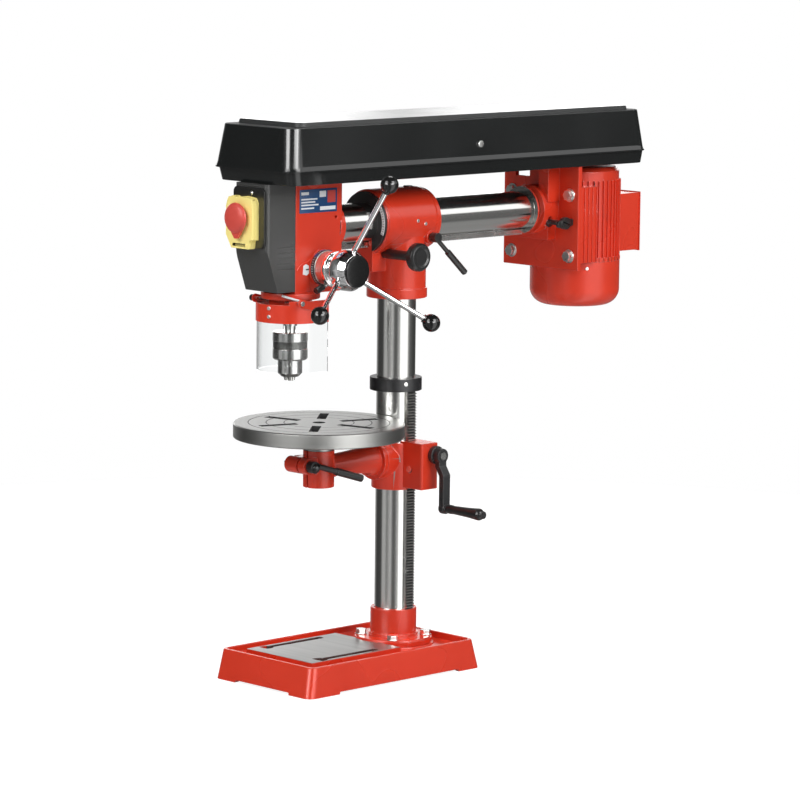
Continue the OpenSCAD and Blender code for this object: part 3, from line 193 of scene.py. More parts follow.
def new_group(name: str, kind: str, inputs: Sequence[tuple], outputs: Sequence[tuple]) -> Graph:
    """Starts a node group with named sockets.

    Args:
        name: the group's name.
        kind: ShaderNodeTree or GeometryNodeTree.
        inputs: (name, socket type, default or None) of each input.
        outputs: (name, socket type) of each output.

    Returns:
        The group's graph; its ends are the nodes "in" and "out".
    """
    tree = bpy.data.node_groups.new(name, kind)
    for label, socket_type, default in inputs:
        socket = tree.interface.new_socket(label, in_out="INPUT", socket_type=socket_type)
        if default is not None:
            socket.default_value = default
    for label, socket_type in outputs:
        tree.interface.new_socket(label, in_out="OUTPUT", socket_type=socket_type)
    tree.nodes.new("NodeGroupInput").name = "in"
    tree.nodes.new("NodeGroupOutput").name = "out"
    return Graph(tree)


def casting_skin_group() -> NodeTree:
    """The shared skin of painted castings: orange peel, soft lumps and a slow colour drift."""
    g = new_group("casting skin", "ShaderNodeTree",
                  [("Vector", "NodeSocketVector", None), ("Peel Scale", "NodeSocketFloat", 900.0),
                   ("Lump Scale", "NodeSocketFloat", 60.0), ("Lump Share", "NodeSocketFloat", 0.4)],
                  [("Height", "NodeSocketFloat"), ("Drift", "NodeSocketFloat")])
    source, sink = g.ends()
    peel, lump, drift = (
        g.add("ShaderNodeTexNoise", Detail=detail, Vector=source["Vector"],
              Scale=scale).outputs["Fac"]
        for detail, scale in ((2.0, source["Peel Scale"]), (3.0, source["Lump Scale"]), (1.0, 9.0)))
    g.feed(sink["Height"], g.mixed(source["Lump Share"], peel, lump))
    g.feed(sink["Drift"], drift)
    return g.tree


def tool_mark_group() -> NodeTree:
    """Shared marks of turning, grinding and drawing, as lines along one direction or as rings."""
    g = new_group("tool marks", "ShaderNodeTree",
                  [("Vector", "NodeSocketVector", None), ("Stretch", "NodeSocketVector", (1, 1, 1)),
                   ("Rings", "NodeSocketFloat", 0.0), ("Scale", "NodeSocketFloat", 800.0)],
                  [("Height", "NodeSocketFloat"), ("Streak", "NodeSocketFloat")])
    source, sink = g.ends()
    lines = g.vector("MULTIPLY", source["Vector"], source["Stretch"])
    parts = g.add("ShaderNodeSeparateXYZ", Vector=source["Vector"]).outputs
    flat = g.add("ShaderNodeCombineXYZ", X=parts["X"], Y=parts["Y"])
    length = g.vector("LENGTH", flat.outputs[0])
    ring = g.add("ShaderNodeCombineXYZ", X=length.outputs["Value"],
                 Z=g.math("MULTIPLY", parts["Z"], 0.3))
    mix = g.add("ShaderNodeMix", data_type="VECTOR", Factor=source["Rings"])
    g.feed(mix.inputs[4], lines.outputs["Vector"])
    g.feed(mix.inputs[5], ring.outputs[0])
    for result, detail, scale in (("Height", 3.0, source["Scale"]),
                                  ("Streak", 2.0, g.math("MULTIPLY", source["Scale"], 0.12))):
        noise = g.add("ShaderNodeTexNoise", Detail=detail, Vector=mix.outputs[1], Scale=scale)
        g.feed(sink[result], noise.outputs["Fac"])
    return g.tree


def worn_edge_group() -> NodeTree:
    """Shared rub marks along edges, where a rounded normal leaves the true one, broken by noise."""
    g = new_group("worn edges", "ShaderNodeTree",
                  [("Vector", "NodeSocketVector", None), ("Amount", "NodeSocketFloat", 0.5)],
                  [("Mask", "NodeSocketFloat")])
    source, sink = g.ends()
    rounded = g.add("ShaderNodeBevel", samples=3, Radius=0.0009)
    geometry = g.add("ShaderNodeNewGeometry")
    facing = g.vector("DOT_PRODUCT", rounded.outputs["Normal"], geometry.outputs["Normal"])
    edge = g.math("MULTIPLY", g.math("SUBTRACT", 0.985, facing.outputs["Value"]), 5.0)
    noise = g.add("ShaderNodeTexNoise", Scale=420.0, Detail=4.0, Vector=source["Vector"])
    broken = g.math("MULTIPLY", edge, g.math("MULTIPLY", noise.outputs["Fac"], 1.6))
    clamp = g.add("ShaderNodeClamp", Value=g.math("MULTIPLY", broken, source["Amount"]))
    g.feed(sink["Mask"], clamp.outputs[0])
    return g.tree


def box_mask_group() -> NodeTree:
    """One inside a box of the row frame and nought outside it."""
    g = new_group("box mask", "ShaderNodeTree",
                  [("Vector", "NodeSocketVector", None), ("Low", "NodeSocketVector", (0, 0, 0)),
                   ("High", "NodeSocketVector", (1, 1, 1))], [("Mask", "NodeSocketFloat")])
    source, sink = g.ends()
    result = 1.0
    for operation, bound in (("GREATER_THAN", "Low"), ("LESS_THAN", "High")):
        point = g.add("ShaderNodeSeparateXYZ", Vector=source["Vector"]).outputs
        edge = g.add("ShaderNodeSeparateXYZ", Vector=source[bound]).outputs
        for k in range(3):
            result = g.math("MULTIPLY", result, g.math(operation, point[k], edge[k]))
    g.feed(sink["Mask"], result)
    return g.tree


class Library:
    """The shared node groups, each built once."""

    def __init__(self) -> None:
        """Builds every shared group."""
        self.skin = casting_skin_group()
        self.marks = tool_mark_group()
        self.worn = worn_edge_group()
        self.box = box_mask_group()


LIBRARY = Library()


@dataclass
class Surface:
    """A material being built: its Principled shader and the coordinates it reads."""

    name: str
    graph: Graph = field(init=False)

    def __post_init__(self) -> None:
        """Makes the material with a Principled shader and Object coordinates."""
        self.material = bpy.data.materials.new(self.name)
        self.material.use_nodes = True
        self.graph = Graph(self.material.node_tree)
        self.shader = self.material.node_tree.nodes["Principled BSDF"]
        self.where = self.graph.add("ShaderNodeTexCoord").outputs["Object"]

    def group(self, tree: NodeTree, **values: object) -> Node:
        """Places a shared group that reads this material's coordinates, its inputs by name."""
        return self.graph.add("ShaderNodeGroup", node_tree=tree, Vector=self.where, **values)

    def mapped(self, **values: object) -> None:
        """Moves or turns the patterns that follow, by a Mapping node's inputs."""
        node = self.graph.add("ShaderNodeMapping", Vector=self.where, **values)
        self.where = node.outputs["Vector"]

    def wear(self, **values: object) -> None:
        """Feeds the shader's inputs by name, with _ for a space."""
        for key, value in values.items():
            self.graph.feed(self.shader.inputs[key.replace("_", " ")], value)

    def bump(self, height: NodeSocket, strength: float, depth: float) -> None:
        """Feeds a height to the shader's normal.

        Args:
            height: the height's socket.
            strength: the Bump node's strength.
            depth: the height of a full step, in metres.
        """
        node = self.graph.add("ShaderNodeBump", Strength=strength, Distance=depth, Height=height)
        self.wear(Normal=node.outputs["Normal"])

    def blend(self, mask: NodeSocket, low: object, high: object) -> NodeSocket:
        """A colour between two colours.

        Args:
            mask: which of the two, from nought to one.
            low: the colour at nought, or a socket.
            high: the colour at one, or a socket.

        Returns:
            The colour's socket.
        """
        node = self.graph.add("ShaderNodeMix", data_type="RGBA", Factor=mask)
        for socket, value in ((node.inputs[6], low), (node.inputs[7], high)):
            plain = isinstance(value, tuple)
            self.graph.feed(socket, (*value, 1.0) if plain else value)
        return node.outputs[2]

    def span(self, value: NodeSocket, low: float, high: float) -> NodeSocket:
        """Maps nought to one onto a range."""
        return self.graph.ranged(value, 0.0, 1.0, low, high)


def scaled(colour: Colour, share: float) -> Colour:
    """A colour made darker or lighter."""
    return tuple(min(1.0, c * share) for c in colour)


@dataclass(frozen=True)
class Enamel:
    """Gloss paint on a casting or a sheet."""

    name: str
    colour: Colour
    roughness: float = 0.32
    lumps: float = 0.45
    depth: float = 0.00012
    chip: Colour = (0.30, 0.28, 0.27)
    wear: float = 0.25
    bare: tuple[Point, Point] | None = None

    def material(self) -> Material:
        """Builds the paint, with a machined bare patch where one is given."""
        surface = Surface(self.name)
        skin = surface.group(LIBRARY.skin, Lump_Share=self.lumps)
        worn = surface.group(LIBRARY.worn, Amount=self.wear)
        paint = surface.blend(skin.outputs["Drift"], scaled(self.colour, 0.88),
                              scaled(self.colour, 1.12))
        colour = surface.blend(worn.outputs["Mask"], paint, self.chip)
        rough = surface.span(skin.outputs["Drift"], self.roughness - 0.06, self.roughness + 0.08)
        if self.bare:
            low, high = ([v * MM for v in corner] for corner in self.bare)
            patch = surface.group(LIBRARY.box, Low=low, High=high).outputs["Mask"]
            marks = surface.group(LIBRARY.marks, Stretch=(0.03, 1, 1), Scale=900.0)
            metal = surface.blend(marks.outputs["Streak"], (0.24, 0.24, 0.235), (0.40, 0.40, 0.39))
            colour = surface.blend(patch, colour, metal)
            surface.wear(Metallic=surface.graph.math("MULTIPLY", patch, 0.9))
            rough = surface.graph.math("ADD", rough, surface.graph.math("MULTIPLY", patch, 0.12))
        surface.wear(Base_Color=colour, Roughness=rough)
        surface.bump(skin.outputs["Height"], 0.35, self.depth)
        return surface.material


@dataclass(frozen=True)
class Metal:
    """Bare, plated or blackened metal."""

    name: str
    colour: Colour
    roughness: float = 0.25
    grain: Grain = Grain.NONE
    scale: float = 800.0
    strength: float = 0.2
    centre: Point = (0.0, 0.0, 0.0)
    axis: Axis = Axis.Z
    metallic: float = 1.0

    def material(self) -> Material:
        """Builds the metal with its tool marks."""
        surface = Surface(self.name)
        surface.mapped(Location=[-v * MM for v in self.centre])
        if self.axis is not Axis.Z:
            quarter = math.pi / 2
            surface.mapped(Rotation=(0, quarter, 0) if self.axis is Axis.X else (quarter, 0, 0))
        stretch = {Grain.ALONG_X: (0.02, 1, 1), Grain.ALONG_Y: (1, 0.02, 1),
                   Grain.ALONG_Z: (1, 1, 0.02)}.get(self.grain, (1, 1, 1))
        marks = surface.group(LIBRARY.marks, Stretch=stretch, Scale=self.scale,
                              Rings=1.0 if self.grain is Grain.TURNED else 0.0)
        streak = marks.outputs["Streak"]
        surface.wear(
            Base_Color=surface.blend(streak, scaled(self.colour, 0.86), scaled(self.colour, 1.10)),
            Roughness=surface.span(streak, self.roughness * 0.75, self.roughness * 1.3),
            Metallic=self.metallic)
        surface.bump(marks.outputs["Height"], self.strength, 0.00006)
        return surface.material


@dataclass(frozen=True)
class Plastic:
    """Moulded plastic or rubber."""

    name: str
    colour: Colour
    roughness: float = 0.3
    texture: float = 1400.0
    depth: float = 0.00003

    def material(self) -> Material:
        """Builds the plastic with a fine moulded texture."""
        surface = Surface(self.name)
        skin = surface.group(LIBRARY.skin, Peel_Scale=self.texture, Lump_Share=0.15)
        worn = surface.group(LIBRARY.worn, Amount=0.2)
        base = surface.blend(skin.outputs["Drift"], scaled(self.colour, 0.9),
                             scaled(self.colour, 1.1))
        surface.wear(
            Base_Color=surface.blend(worn.outputs["Mask"], base, scaled(self.colour, 1.5)),
            Roughness=surface.span(skin.outputs["Drift"], self.roughness - 0.05,
                                   self.roughness + 0.07))
        surface.bump(skin.outputs["Height"], 0.3, self.depth)
        return surface.material


@dataclass(frozen=True)
class Clear:
    """Clear moulded plastic."""

    name: str
    colour: Colour = (0.96, 0.97, 0.97)
    roughness: float = 0.03

    def material(self) -> Material:
        """Builds the clear plastic with faint scuffs."""
        surface = Surface(self.name)
        skin = surface.group(LIBRARY.skin, Peel_Scale=300.0, Lump_Share=0.6)
        surface.wear(
            Roughness=surface.span(skin.outputs["Drift"], self.roughness, self.roughness + 0.05),
            Base_Color=(*self.colour, 1.0), Transmission_Weight=1.0, IOR=1.3)
        surface.bump(skin.outputs["Height"], 0.06, 0.0001)
        return surface.material


RED: Colour = (0.64, 0.038, 0.014)
BLACK: Colour = (0.010, 0.010, 0.011)

FINISHES: dict[str, Enamel | Metal | Plastic | Clear] = {
    "red_paint": Enamel("red casting enamel", RED, roughness=0.26),
    "motor_red": Enamel("red motor enamel", RED, roughness=0.27, lumps=0.5),
    "base_paint": Enamel("red enamel with machined pad", RED, roughness=0.26,
                         bare=((-68, -222, 42), (68, -50, 43))),
    "black_paint": Enamel("black satin paint", BLACK, roughness=0.4, chip=(0.25, 0.24, 0.23)),
    "cover_black": Enamel("black cover enamel", (0.009, 0.010, 0.010), roughness=0.15, lumps=0.8,
                          depth=0.00004, wear=0.1, chip=(0.05, 0.05, 0.05)),
    "cover_edge": Enamel("grained cover edge", (0.010, 0.011, 0.011), roughness=0.55, lumps=0.5,
                         depth=0.00008, wear=0.1, chip=(0.05, 0.05, 0.05)),
    # Painted shade: near-black for the table's grooves and slot walls and the rack's tooth gaps,
    # standing in for the shade inside them.
    "groove_painted_shade": Metal("groove painted shade", (0.03, 0.03, 0.03), 0.6, metallic=0.3),
    # Painted shade: a dark red-brown on the base's slot walls, standing in for the shadow deep
    # inside the slots.
    "slot_painted_shade": Enamel("slot wall painted shade", (0.030, 0.006, 0.004), roughness=0.5),
    "black_steel": Metal("blackened steel", (0.05, 0.05, 0.05), 0.35, metallic=0.8),
    "machined_iron": Metal("turned table iron", (0.30, 0.30, 0.29), 0.38, Grain.TURNED, 2600.0,
                           0.5, (0, -148.5, 0)),
    "column_steel": Metal("ground column steel", (0.64, 0.64, 0.62), 0.16, Grain.ALONG_Z, 500.0),
    "ram_steel": Metal("ground ram steel", (0.64, 0.64, 0.62), 0.16, Grain.ALONG_Y, 500.0),
    "bright_steel": Metal("bright steel", (0.60, 0.60, 0.58), 0.22, strength=0.1),
    "ring_alloy": Metal("satin ring alloy", (0.56, 0.55, 0.53), 0.30, strength=0.3),
    "rack_steel": Metal("milled rack steel", (0.62, 0.61, 0.59), 0.24),
    "zinc_steel": Metal("zinc plated steel", (0.72, 0.72, 0.70), 0.28, strength=0.1),
    "chrome": Metal("polished chrome", (0.78, 0.78, 0.78), 0.07, strength=0.03),
    "chuck_chrome": Metal("chuck steel", (0.58, 0.58, 0.57), 0.14, Grain.TURNED, 1800.0, 0.12,
                          (0, SPINDLE_Y, 0)),
    "knurl_dark": Metal("dark knurled band", (0.12, 0.12, 0.115), 0.42, Grain.TURNED, 1800.0),
    "black_plastic": Plastic("black moulded plastic", (0.013, 0.013, 0.013), 0.28),
    "ball_black": Plastic("black ball knob gloss", (0.008, 0.008, 0.008), 0.12, 900.0, 0.00001),
    "cover_plastic": Plastic("grey black cover plastic", (0.040, 0.040, 0.039), 0.42, 900.0,
                             0.00006),
    "yellow_plastic": Plastic("yellow switch plastic", (0.94, 0.78, 0.26), 0.45),
    "red_plastic": Plastic("red knob plastic", (0.58, 0.062, 0.045), 0.4),
    "green_plastic": Plastic("green button plastic", (0.02, 0.20, 0.05), 0.3),
    "blue_plate": Plastic("blue plate print", (0.006, 0.055, 0.17), 0.3, 2600.0),
    "white_print": Plastic("white plate print", (0.80, 0.82, 0.84), 0.35, 2600.0),
    "red_print": Plastic("red plate print", (0.55, 0.05, 0.04), 0.35, 2600.0),
    "clear_plastic": Clear("clear guard plastic"),
    "belt_rubber": Plastic("belt rubber", (0.02, 0.02, 0.02), 0.7, 1800.0, 0.0001),
    "copper": Metal("copper winding", (0.60, 0.25, 0.12), 0.35, Grain.TURNED, 900.0, 0.5,
                    (0, MOTOR_Y, 0)),
}
SLOTS = {"cover_edge": "cover_black", "groove_painted_shade": "machined_iron", "slot_painted_shade": "red_paint",
         "base_paint": "red_paint", "black_steel": "black_paint", "column_steel": "bright_steel",
         "ram_steel": "bright_steel", "rack_steel": "bright_steel", "ball_black": "black_plastic",
         "chuck_chrome": "chrome", "knurl_dark": "chrome", "cover_plastic": "black_plastic",
         "white_print": "blue_plate", "red_print": "blue_plate", "copper": "bright_steel"}


class Paintbox:
    """Hands out each finish's material, built the first time it is asked for."""

    def __init__(self) -> None:
        """Starts with no materials."""
        self.made: dict[str, Material] = {}

    def get(self, finish: str) -> Material:
        """The material of a finish."""
        if finish not in self.made:
            self.made[finish] = FINISHES[finish].material()
        return self.made[finish]


PAINT = Paintbox()

# Making pieces


def smooth(mesh: Mesh) -> None:
    """Shades a mesh smooth, with edges that bend more than SHARP_ANGLE kept."""
    bm = bmesh.new()
    bm.from_mesh(mesh)
    for face in bm.faces:
        face.smooth = True
    for edge in bm.edges:
        edge.smooth = len(edge.link_faces) == 2 and edge.calc_face_angle(0.0) < SHARP_ANGLE
    bm.to_mesh(mesh)
    bm.free()


def applied(obj: Object) -> None:
    """Turns an object's modifiers into plain mesh."""
    bpy.context.view_layer.update()
    evaluated = obj.evaluated_get(bpy.context.evaluated_depsgraph_get())
    mesh = bpy.data.meshes.new_from_object(evaluated)
    obj.modifiers.clear()
    old, obj.data = obj.data, mesh
    bpy.data.meshes.remove(old)


def flattened(obj: Object) -> None:
    """Keeps large faces flat beside their rounded edges, by weighting the normals by area."""
    weighting = obj.modifiers.new("flat faces", "WEIGHTED_NORMAL")
    weighting.keep_sharp = True
    weighting.weight = 100
    applied(obj)


def to_mesh(bm: BMesh, name: str) -> Mesh:
    """Closes a bmesh into a mesh.

    Args:
        bm: the mesh being built, in millimetres.
        name: the mesh's name.

    Returns:
        The mesh, in metres, with its faces outwards.
    """
    bmesh.ops.remove_doubles(bm, verts=bm.verts, dist=0.001)
    bmesh.ops.recalc_face_normals(bm, faces=bm.faces)
    bm.transform(Matrix.Scale(MM, 4))
    mesh = bpy.data.meshes.new(name)
    bm.to_mesh(mesh)
    bm.free()
    return mesh


def in_scene(name: str, mesh: Mesh) -> Object:
    """A new object of the scene."""
    obj = bpy.data.objects.new(name, mesh)
    bpy.context.scene.collection.objects.link(obj)
    return obj


def place(name: str, bm: BMesh, body: str, finish: str, replaces: Sequence[str] = ()) -> None:
    """Puts a built form into the scene as a piece of the drill.

    Args:
        name: the piece's name.
        bm: its form, in millimetres in the row frame.
        body: the CAD body that it rides on.
        finish: its finish.
        replaces: the CAD nodes that it stands for.
    """
    mesh = to_mesh(bm, name)
    smooth(mesh)
    mesh.materials.append(PAINT.get(finish))
    obj = in_scene(name, mesh)
    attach(obj, body)
    SLOTS.get(finish, finish)
    if replaces:
        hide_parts(*replaces)
    LOG.info("piece %s on %s", name, body)


def skinned(bm: BMesh, rings: Sequence[list[BMVert]]) -> None:
    """Joins each ring of points to the next and closes both ends; one point makes a tip."""
    steps = max(len(ring) for ring in rings)
    for low, high in zip(rings, rings[1:]):
        for k in range(steps):
            n = (k + 1) % steps
            corners = dict.fromkeys((low[k % len(low)], low[n % len(low)], high[n % len(high)],
                                     high[k % len(high)]))
            if len(corners) > 2:
                bm.faces.new(list(corners))
    for ring in (rings[0], rings[-1]):
        if len(ring) > 1:
            bm.faces.new(ring)


def lathe(profile: Sequence[tuple[float, float]], steps: int = 48) -> BMesh:
    """Turns a profile about +Z.

    Args:
        profile: (radius, height) points from the lower end to the upper end.
        steps: how many steps make the turn.

    Returns:
        The closed solid, in millimetres.
    """
    bm = bmesh.new()
    rings = []
    for r, h in profile:
        if r < 1e-6:
            rings.append([bm.verts.new((0, 0, h))])
            continue
        rings.append([bm.verts.new((r * math.cos(k * math.tau / steps),
                                    r * math.sin(k * math.tau / steps), h))
                      for k in range(steps)])
    skinned(bm, rings)
    return bm


def slab(low: Point, high: Point, bevel: float, steps: int = 2) -> BMesh:
    """A block with rounded edges.

    Args:
        low: its low corner.
        high: its high corner.
        bevel: the edges' radius.
        steps: segments of each rounded edge.

    Returns:
        The block, in millimetres.
    """
    bm = bmesh.new()
    centre = [(a + b) / 2 for a, b in zip(low, high)]
    size = [b - a for a, b in zip(low, high)]
    bmesh.ops.create_cube(bm, size=1.0, matrix=Matrix.Translation(centre)
                          @ Matrix.Diagonal((*size, 1.0)))
    bmesh.ops.bevel(bm, geom=bm.edges, offset=bevel, segments=steps, profile=0.5,
                    affect="EDGES", clamp_overlap=True)
    return bm


def sweep(points: Sequence[Point], radius: float, steps: int = 16) -> BMesh:
    """A round rod along a path, with rounded ends.

    Args:
        points: the path, in millimetres.
        radius: the rod's radius.
        steps: how many sides it has.

    Returns:
        The closed rod.
    """
    bm = bmesh.new()
    path = [Vector(p) for p in points]
    rings, stations = [], []
    for i, p in enumerate(path):
        ahead = (path[min(i + 1, len(path) - 1)] - path[max(i - 1, 0)]).normalized()
        inset = ahead * radius * END_INSET
        if i == 0:
            stations += [(p, ahead, END_SHARE), (p + inset, ahead, 1.0)]
        elif i == len(path) - 1:
            stations += [(p - inset, ahead, 1.0), (p, ahead, END_SHARE)]
        else:
            stations.append((p, ahead, 1.0))
    side = stations[0][1].orthogonal().normalized()
    for p, ahead, share in stations:
        side = (side - ahead * side.dot(ahead)).normalized()
        other = ahead.cross(side)
        rings.append([bm.verts.new(p + (side * math.cos(k * math.tau / steps)
                                        + other * math.sin(k * math.tau / steps))
                                   * radius * share) for k in range(steps)])
    skinned(bm, rings)
    return bm


def joined(parts: Sequence[BMesh]) -> BMesh:
    """Several meshes as one."""
    whole = bmesh.new()
    for part in parts:
        mesh = bpy.data.meshes.new("part")
        part.to_mesh(mesh)
        part.free()
        whole.from_mesh(mesh)
        bpy.data.meshes.remove(mesh)
    return whole


def at(centre: Point, axis: Axis) -> Matrix:
    """The move that takes the origin to a place and +Z to an axis."""
    return Matrix.Translation(centre) @ axis.turn()


Zone = tuple[str, Callable[[Vector], bool]]


def edge_room(edge: BMEdge) -> float:
    """How wide the narrower face beside an edge is, square to the edge, in the mesh's units."""
    start = edge.verts[0].co
    along = (edge.verts[1].co - start).normalized()
    room = []
    for face in edge.link_faces:
        room.append(max(((v.co - start) - along * (v.co - start).dot(along)).length
                        for v in face.verts))
    return min(room)


def mark_edges(bm: BMesh, width: float) -> None:
    """Gives each edge past EDGE_ANGLE the share of the rounding that its faces have room for.

    Args:
        bm: the mesh, in metres.
        width: the full rounding's width, in metres.
    """
    weight = bm.edges.layers.float.new("bevel_weight_edge")
    for edge in bm.edges:
        if len(edge.link_faces) != 2 or edge.calc_face_angle(0.0) < EDGE_ANGLE:
            continue
        share = EDGE_SHARE * edge_room(edge) / width
        edge[weight] = min(1.0, share) if share > LEAST_ROUNDING else 0.0


def dressed(node: str, finish: str, bevel: float = 0.0, zones: Sequence[Zone] = ()) -> None:
    """Carries a CAD node over as a piece with rounded edges and its finish.

    Args:
        node: the CAD node.
        finish: its main finish.
        bevel: the radius of its edges, in millimetres.
        zones: other finishes, each with a test of a face's centre in millimetres.
    """
    source = frame["nodes"][node]
    bm = bmesh.new()
    bm.from_mesh(source.data)
    bmesh.ops.remove_doubles(bm, verts=bm.verts, dist=1e-6)
    bmesh.ops.dissolve_limit(bm, angle_limit=SAME_PLANE, verts=bm.verts, edges=bm.edges)
    if bevel:
        mark_edges(bm, bevel * MM)
    mesh = bpy.data.meshes.new(node + "_skin")
    bm.to_mesh(mesh)
    bm.free()
    body = source["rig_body"]
    mesh.materials.clear()
    mesh.materials.append(PAINT.get(finish))
    obj = in_scene(node + "_skin", mesh)
    if bevel:
        rounding = obj.modifiers.new("edges", "BEVEL")
        rounding.width = bevel * MM
        rounding.segments = 2
        rounding.limit_method = "WEIGHT"
        rounding.use_clamp_overlap = False
        rounding.miter_outer = "MITER_ARC"
        applied(obj)
    mesh = obj.data
    low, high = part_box(node)
    for vertex in mesh.vertices:
        vertex.co = [min(max(v, a), b) for v, a, b in zip(vertex.co, low, high)]
    for index, (name, test) in enumerate(zones):
        mesh.materials.append(PAINT.get(name))
        for face in mesh.polygons:
            if test(face.center / MM):
                face.material_index = index + 1
    smooth(mesh)
    flattened(obj)
    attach(obj, body)
    SLOTS.get(finish, finish)
    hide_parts(node)
    LOG.info("node %s dressed in %s", node, finish)


def dress_all(rows: str) -> None:
    """Dresses plain nodes, given as "node finish bevel" with a comma between them."""
    for row in rows.split(","):
        node, finish, bevel = row.split()
        dressed(node, finish, float(bevel))


# Geometry Nodes trees


def finish_tree(g: Graph, **values: object) -> None:
    """Ends a tree: instances from these inputs, made real and given the tree's material."""
    source, sink = g.ends()
    copies = g.add("GeometryNodeInstanceOnPoints", **values)
    real = g.add("GeometryNodeRealizeInstances", Geometry=copies.outputs[0])
    painted = g.add("GeometryNodeSetMaterial", Geometry=real.outputs[0],
                    Material=source["Material"])
    g.feed(sink["Geometry"], painted.outputs[0])


def bars_on_arc_tree() -> NodeTree:
    """Blocks set out along an arc about +Z: ticks, ribs and knurls."""
    g = new_group("bars on an arc", "GeometryNodeTree",
                  [("Count", "NodeSocketInt", 12), ("Radius", "NodeSocketFloat", 0.02),
                   ("First", "NodeSocketFloat", 0.0), ("Step", "NodeSocketFloat", 0.1),
                   ("Size", "NodeSocketVector", (0.001, 0.001, 0.001)),
                   ("Long Every", "NodeSocketInt", 5), ("Long", "NodeSocketFloat", 1.0),
                   ("Material", "NodeSocketMaterial", None)],
                  [("Geometry", "NodeSocketGeometry")])
    source, _ = g.ends()
    index = g.add("GeometryNodeInputIndex").outputs[0]
    angle = g.math("ADD", g.math("MULTIPLY", index, source["Step"]), source["First"])
    spot = g.add("ShaderNodeCombineXYZ",
                 X=g.math("MULTIPLY", g.math("COSINE", angle), source["Radius"]),
                 Y=g.math("MULTIPLY", g.math("SINE", angle), source["Radius"]))
    points = g.add("GeometryNodePoints", Count=source["Count"], Position=spot.outputs[0])
    is_long = g.math("LESS_THAN", g.math("MODULO", index, source["Long Every"]), 0.5)
    longer = g.math("MULTIPLY", is_long, g.math("SUBTRACT", source["Long"], 1.0))
    bar = g.add("GeometryNodeMeshCube", Size=source["Size"])
    finish_tree(g, Points=points.outputs[0], Instance=bar.outputs["Mesh"],
                Rotation=g.add("ShaderNodeCombineXYZ", Z=angle).outputs[0],
                Scale=g.add("ShaderNodeCombineXYZ", X=g.math("ADD", 1.0, longer), Y=1.0,
                            Z=1.0).outputs[0])
    return g.tree


def heads_at_points_tree() -> NodeTree:
    """Round screw heads, each a cone on a washer, at the points of a mesh, along +Z."""
    g = new_group("heads at points", "GeometryNodeTree",
                  [("Geometry", "NodeSocketGeometry", None),
                   ("Head Radius", "NodeSocketFloat", 0.002),
                   ("Head Height", "NodeSocketFloat", 0.001),
                   ("Turn", "NodeSocketVector", (0, 0, 0)),
                   ("Material", "NodeSocketMaterial", None)],
                  [("Geometry", "NodeSocketGeometry")])
    source, _ = g.ends()
    radius, height = source["Head Radius"], source["Head Height"]
    both = g.add("GeometryNodeJoinGeometry")
    for base, top, rise in ((1.0, 0.72, 1.0), (1.12, 1.12, 0.3)):
        cone = g.add("GeometryNodeMeshCone", Vertices=20)
        for socket, size, share in (("Radius Bottom", radius, base), ("Radius Top", radius, top),
                                    ("Depth", height, rise)):
            g.feed(cone.inputs[socket], g.math("MULTIPLY", size, share))
        g.feed(both.inputs[0], cone.outputs["Mesh"])
    finish_tree(g, Points=source["Geometry"], Instance=both.outputs[0], Rotation=source["Turn"])
    return g.tree


class Trees:
    """The Geometry Nodes trees, each built once."""

    def __init__(self) -> None:
        """Builds every tree."""
        self.bars = bars_on_arc_tree()
        self.heads = heads_at_points_tree()


TREES = Trees()


def grown(name: str, tree: NodeTree, body: str, finish: str, move: Matrix,
          points: Sequence[Point] = ((0, 0, 0),), **values: object) -> None:
    """Runs a tree and keeps its result as a plain piece.

    Args:
        name: the piece's name.
        tree: the Geometry Nodes tree.
        body: the CAD body that it rides on.
        finish: its finish.
        move: where its result goes, in millimetres.
        points: the vertices that the tree starts from, in millimetres.
        values: the tree's inputs, with _ for a space, in metres and radians.
    """
    mesh = bpy.data.meshes.new(name)
    mesh.from_pydata([[v * MM for v in p] for p in points], [], [])
    obj = in_scene(name, mesh)
    modifier = obj.modifiers.new("tree", "NODES")
    modifier.node_group = tree
    keys = {item.name: item.identifier for item in tree.interface.items_tree
            if item.item_type == "SOCKET" and item.in_out == "INPUT"}
    for key, value in values.items():
        plain = tuple(float(v) for v in value) if isinstance(value, tuple) else value
        modifier[keys[key.replace("_", " ")]] = plain
    modifier[keys["Material"]] = PAINT.get(finish)
    applied(obj)
    if None in list(obj.data.materials):
        obj.data.materials.clear()
        obj.data.materials.append(PAINT.get(finish))
        obj.data.polygons.foreach_set("material_index", [0] * len(obj.data.polygons))
    shift = move.copy()
    shift.translation = move.translation * MM
    obj.data.transform(shift)
    smooth(obj.data)
    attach(obj, body)
    SLOTS.get(finish, finish)
    LOG.info("grown piece %s on %s", name, body)


# Sub-assemblies


def off_ram(c: Vector) -> float:
    """How far a point is from the ram's axis, in millimetres."""
    return math.hypot(c.x, c.z - RAM_Z)


@dataclass
class Stand:
    """Base, column and foot flange."""

    edge: float = 1.4

    def build(self) -> None:
        """Dresses the stand."""
        # The slot walls of the base get a painted shade.
        dressed("base", "base_paint", self.edge, [
            ("slot_painted_shade", lambda c: 30 < abs(c.x) < 62 and -216 < c.y < -60 and 12 < c.z < 42.1)])
        dress_all("column_flange red_paint 1.0, flange_bolts zinc_steel 0.5, column column_steel 0")
        dressed("rack_collar", "black_paint", 0.8,
                [("zinc_steel", lambda c: 30 < math.hypot(c.x, c.y) < 36.2
                  and abs(c.y + 12.5) < 4 and abs(c.z - 409.5) < 2.8)])


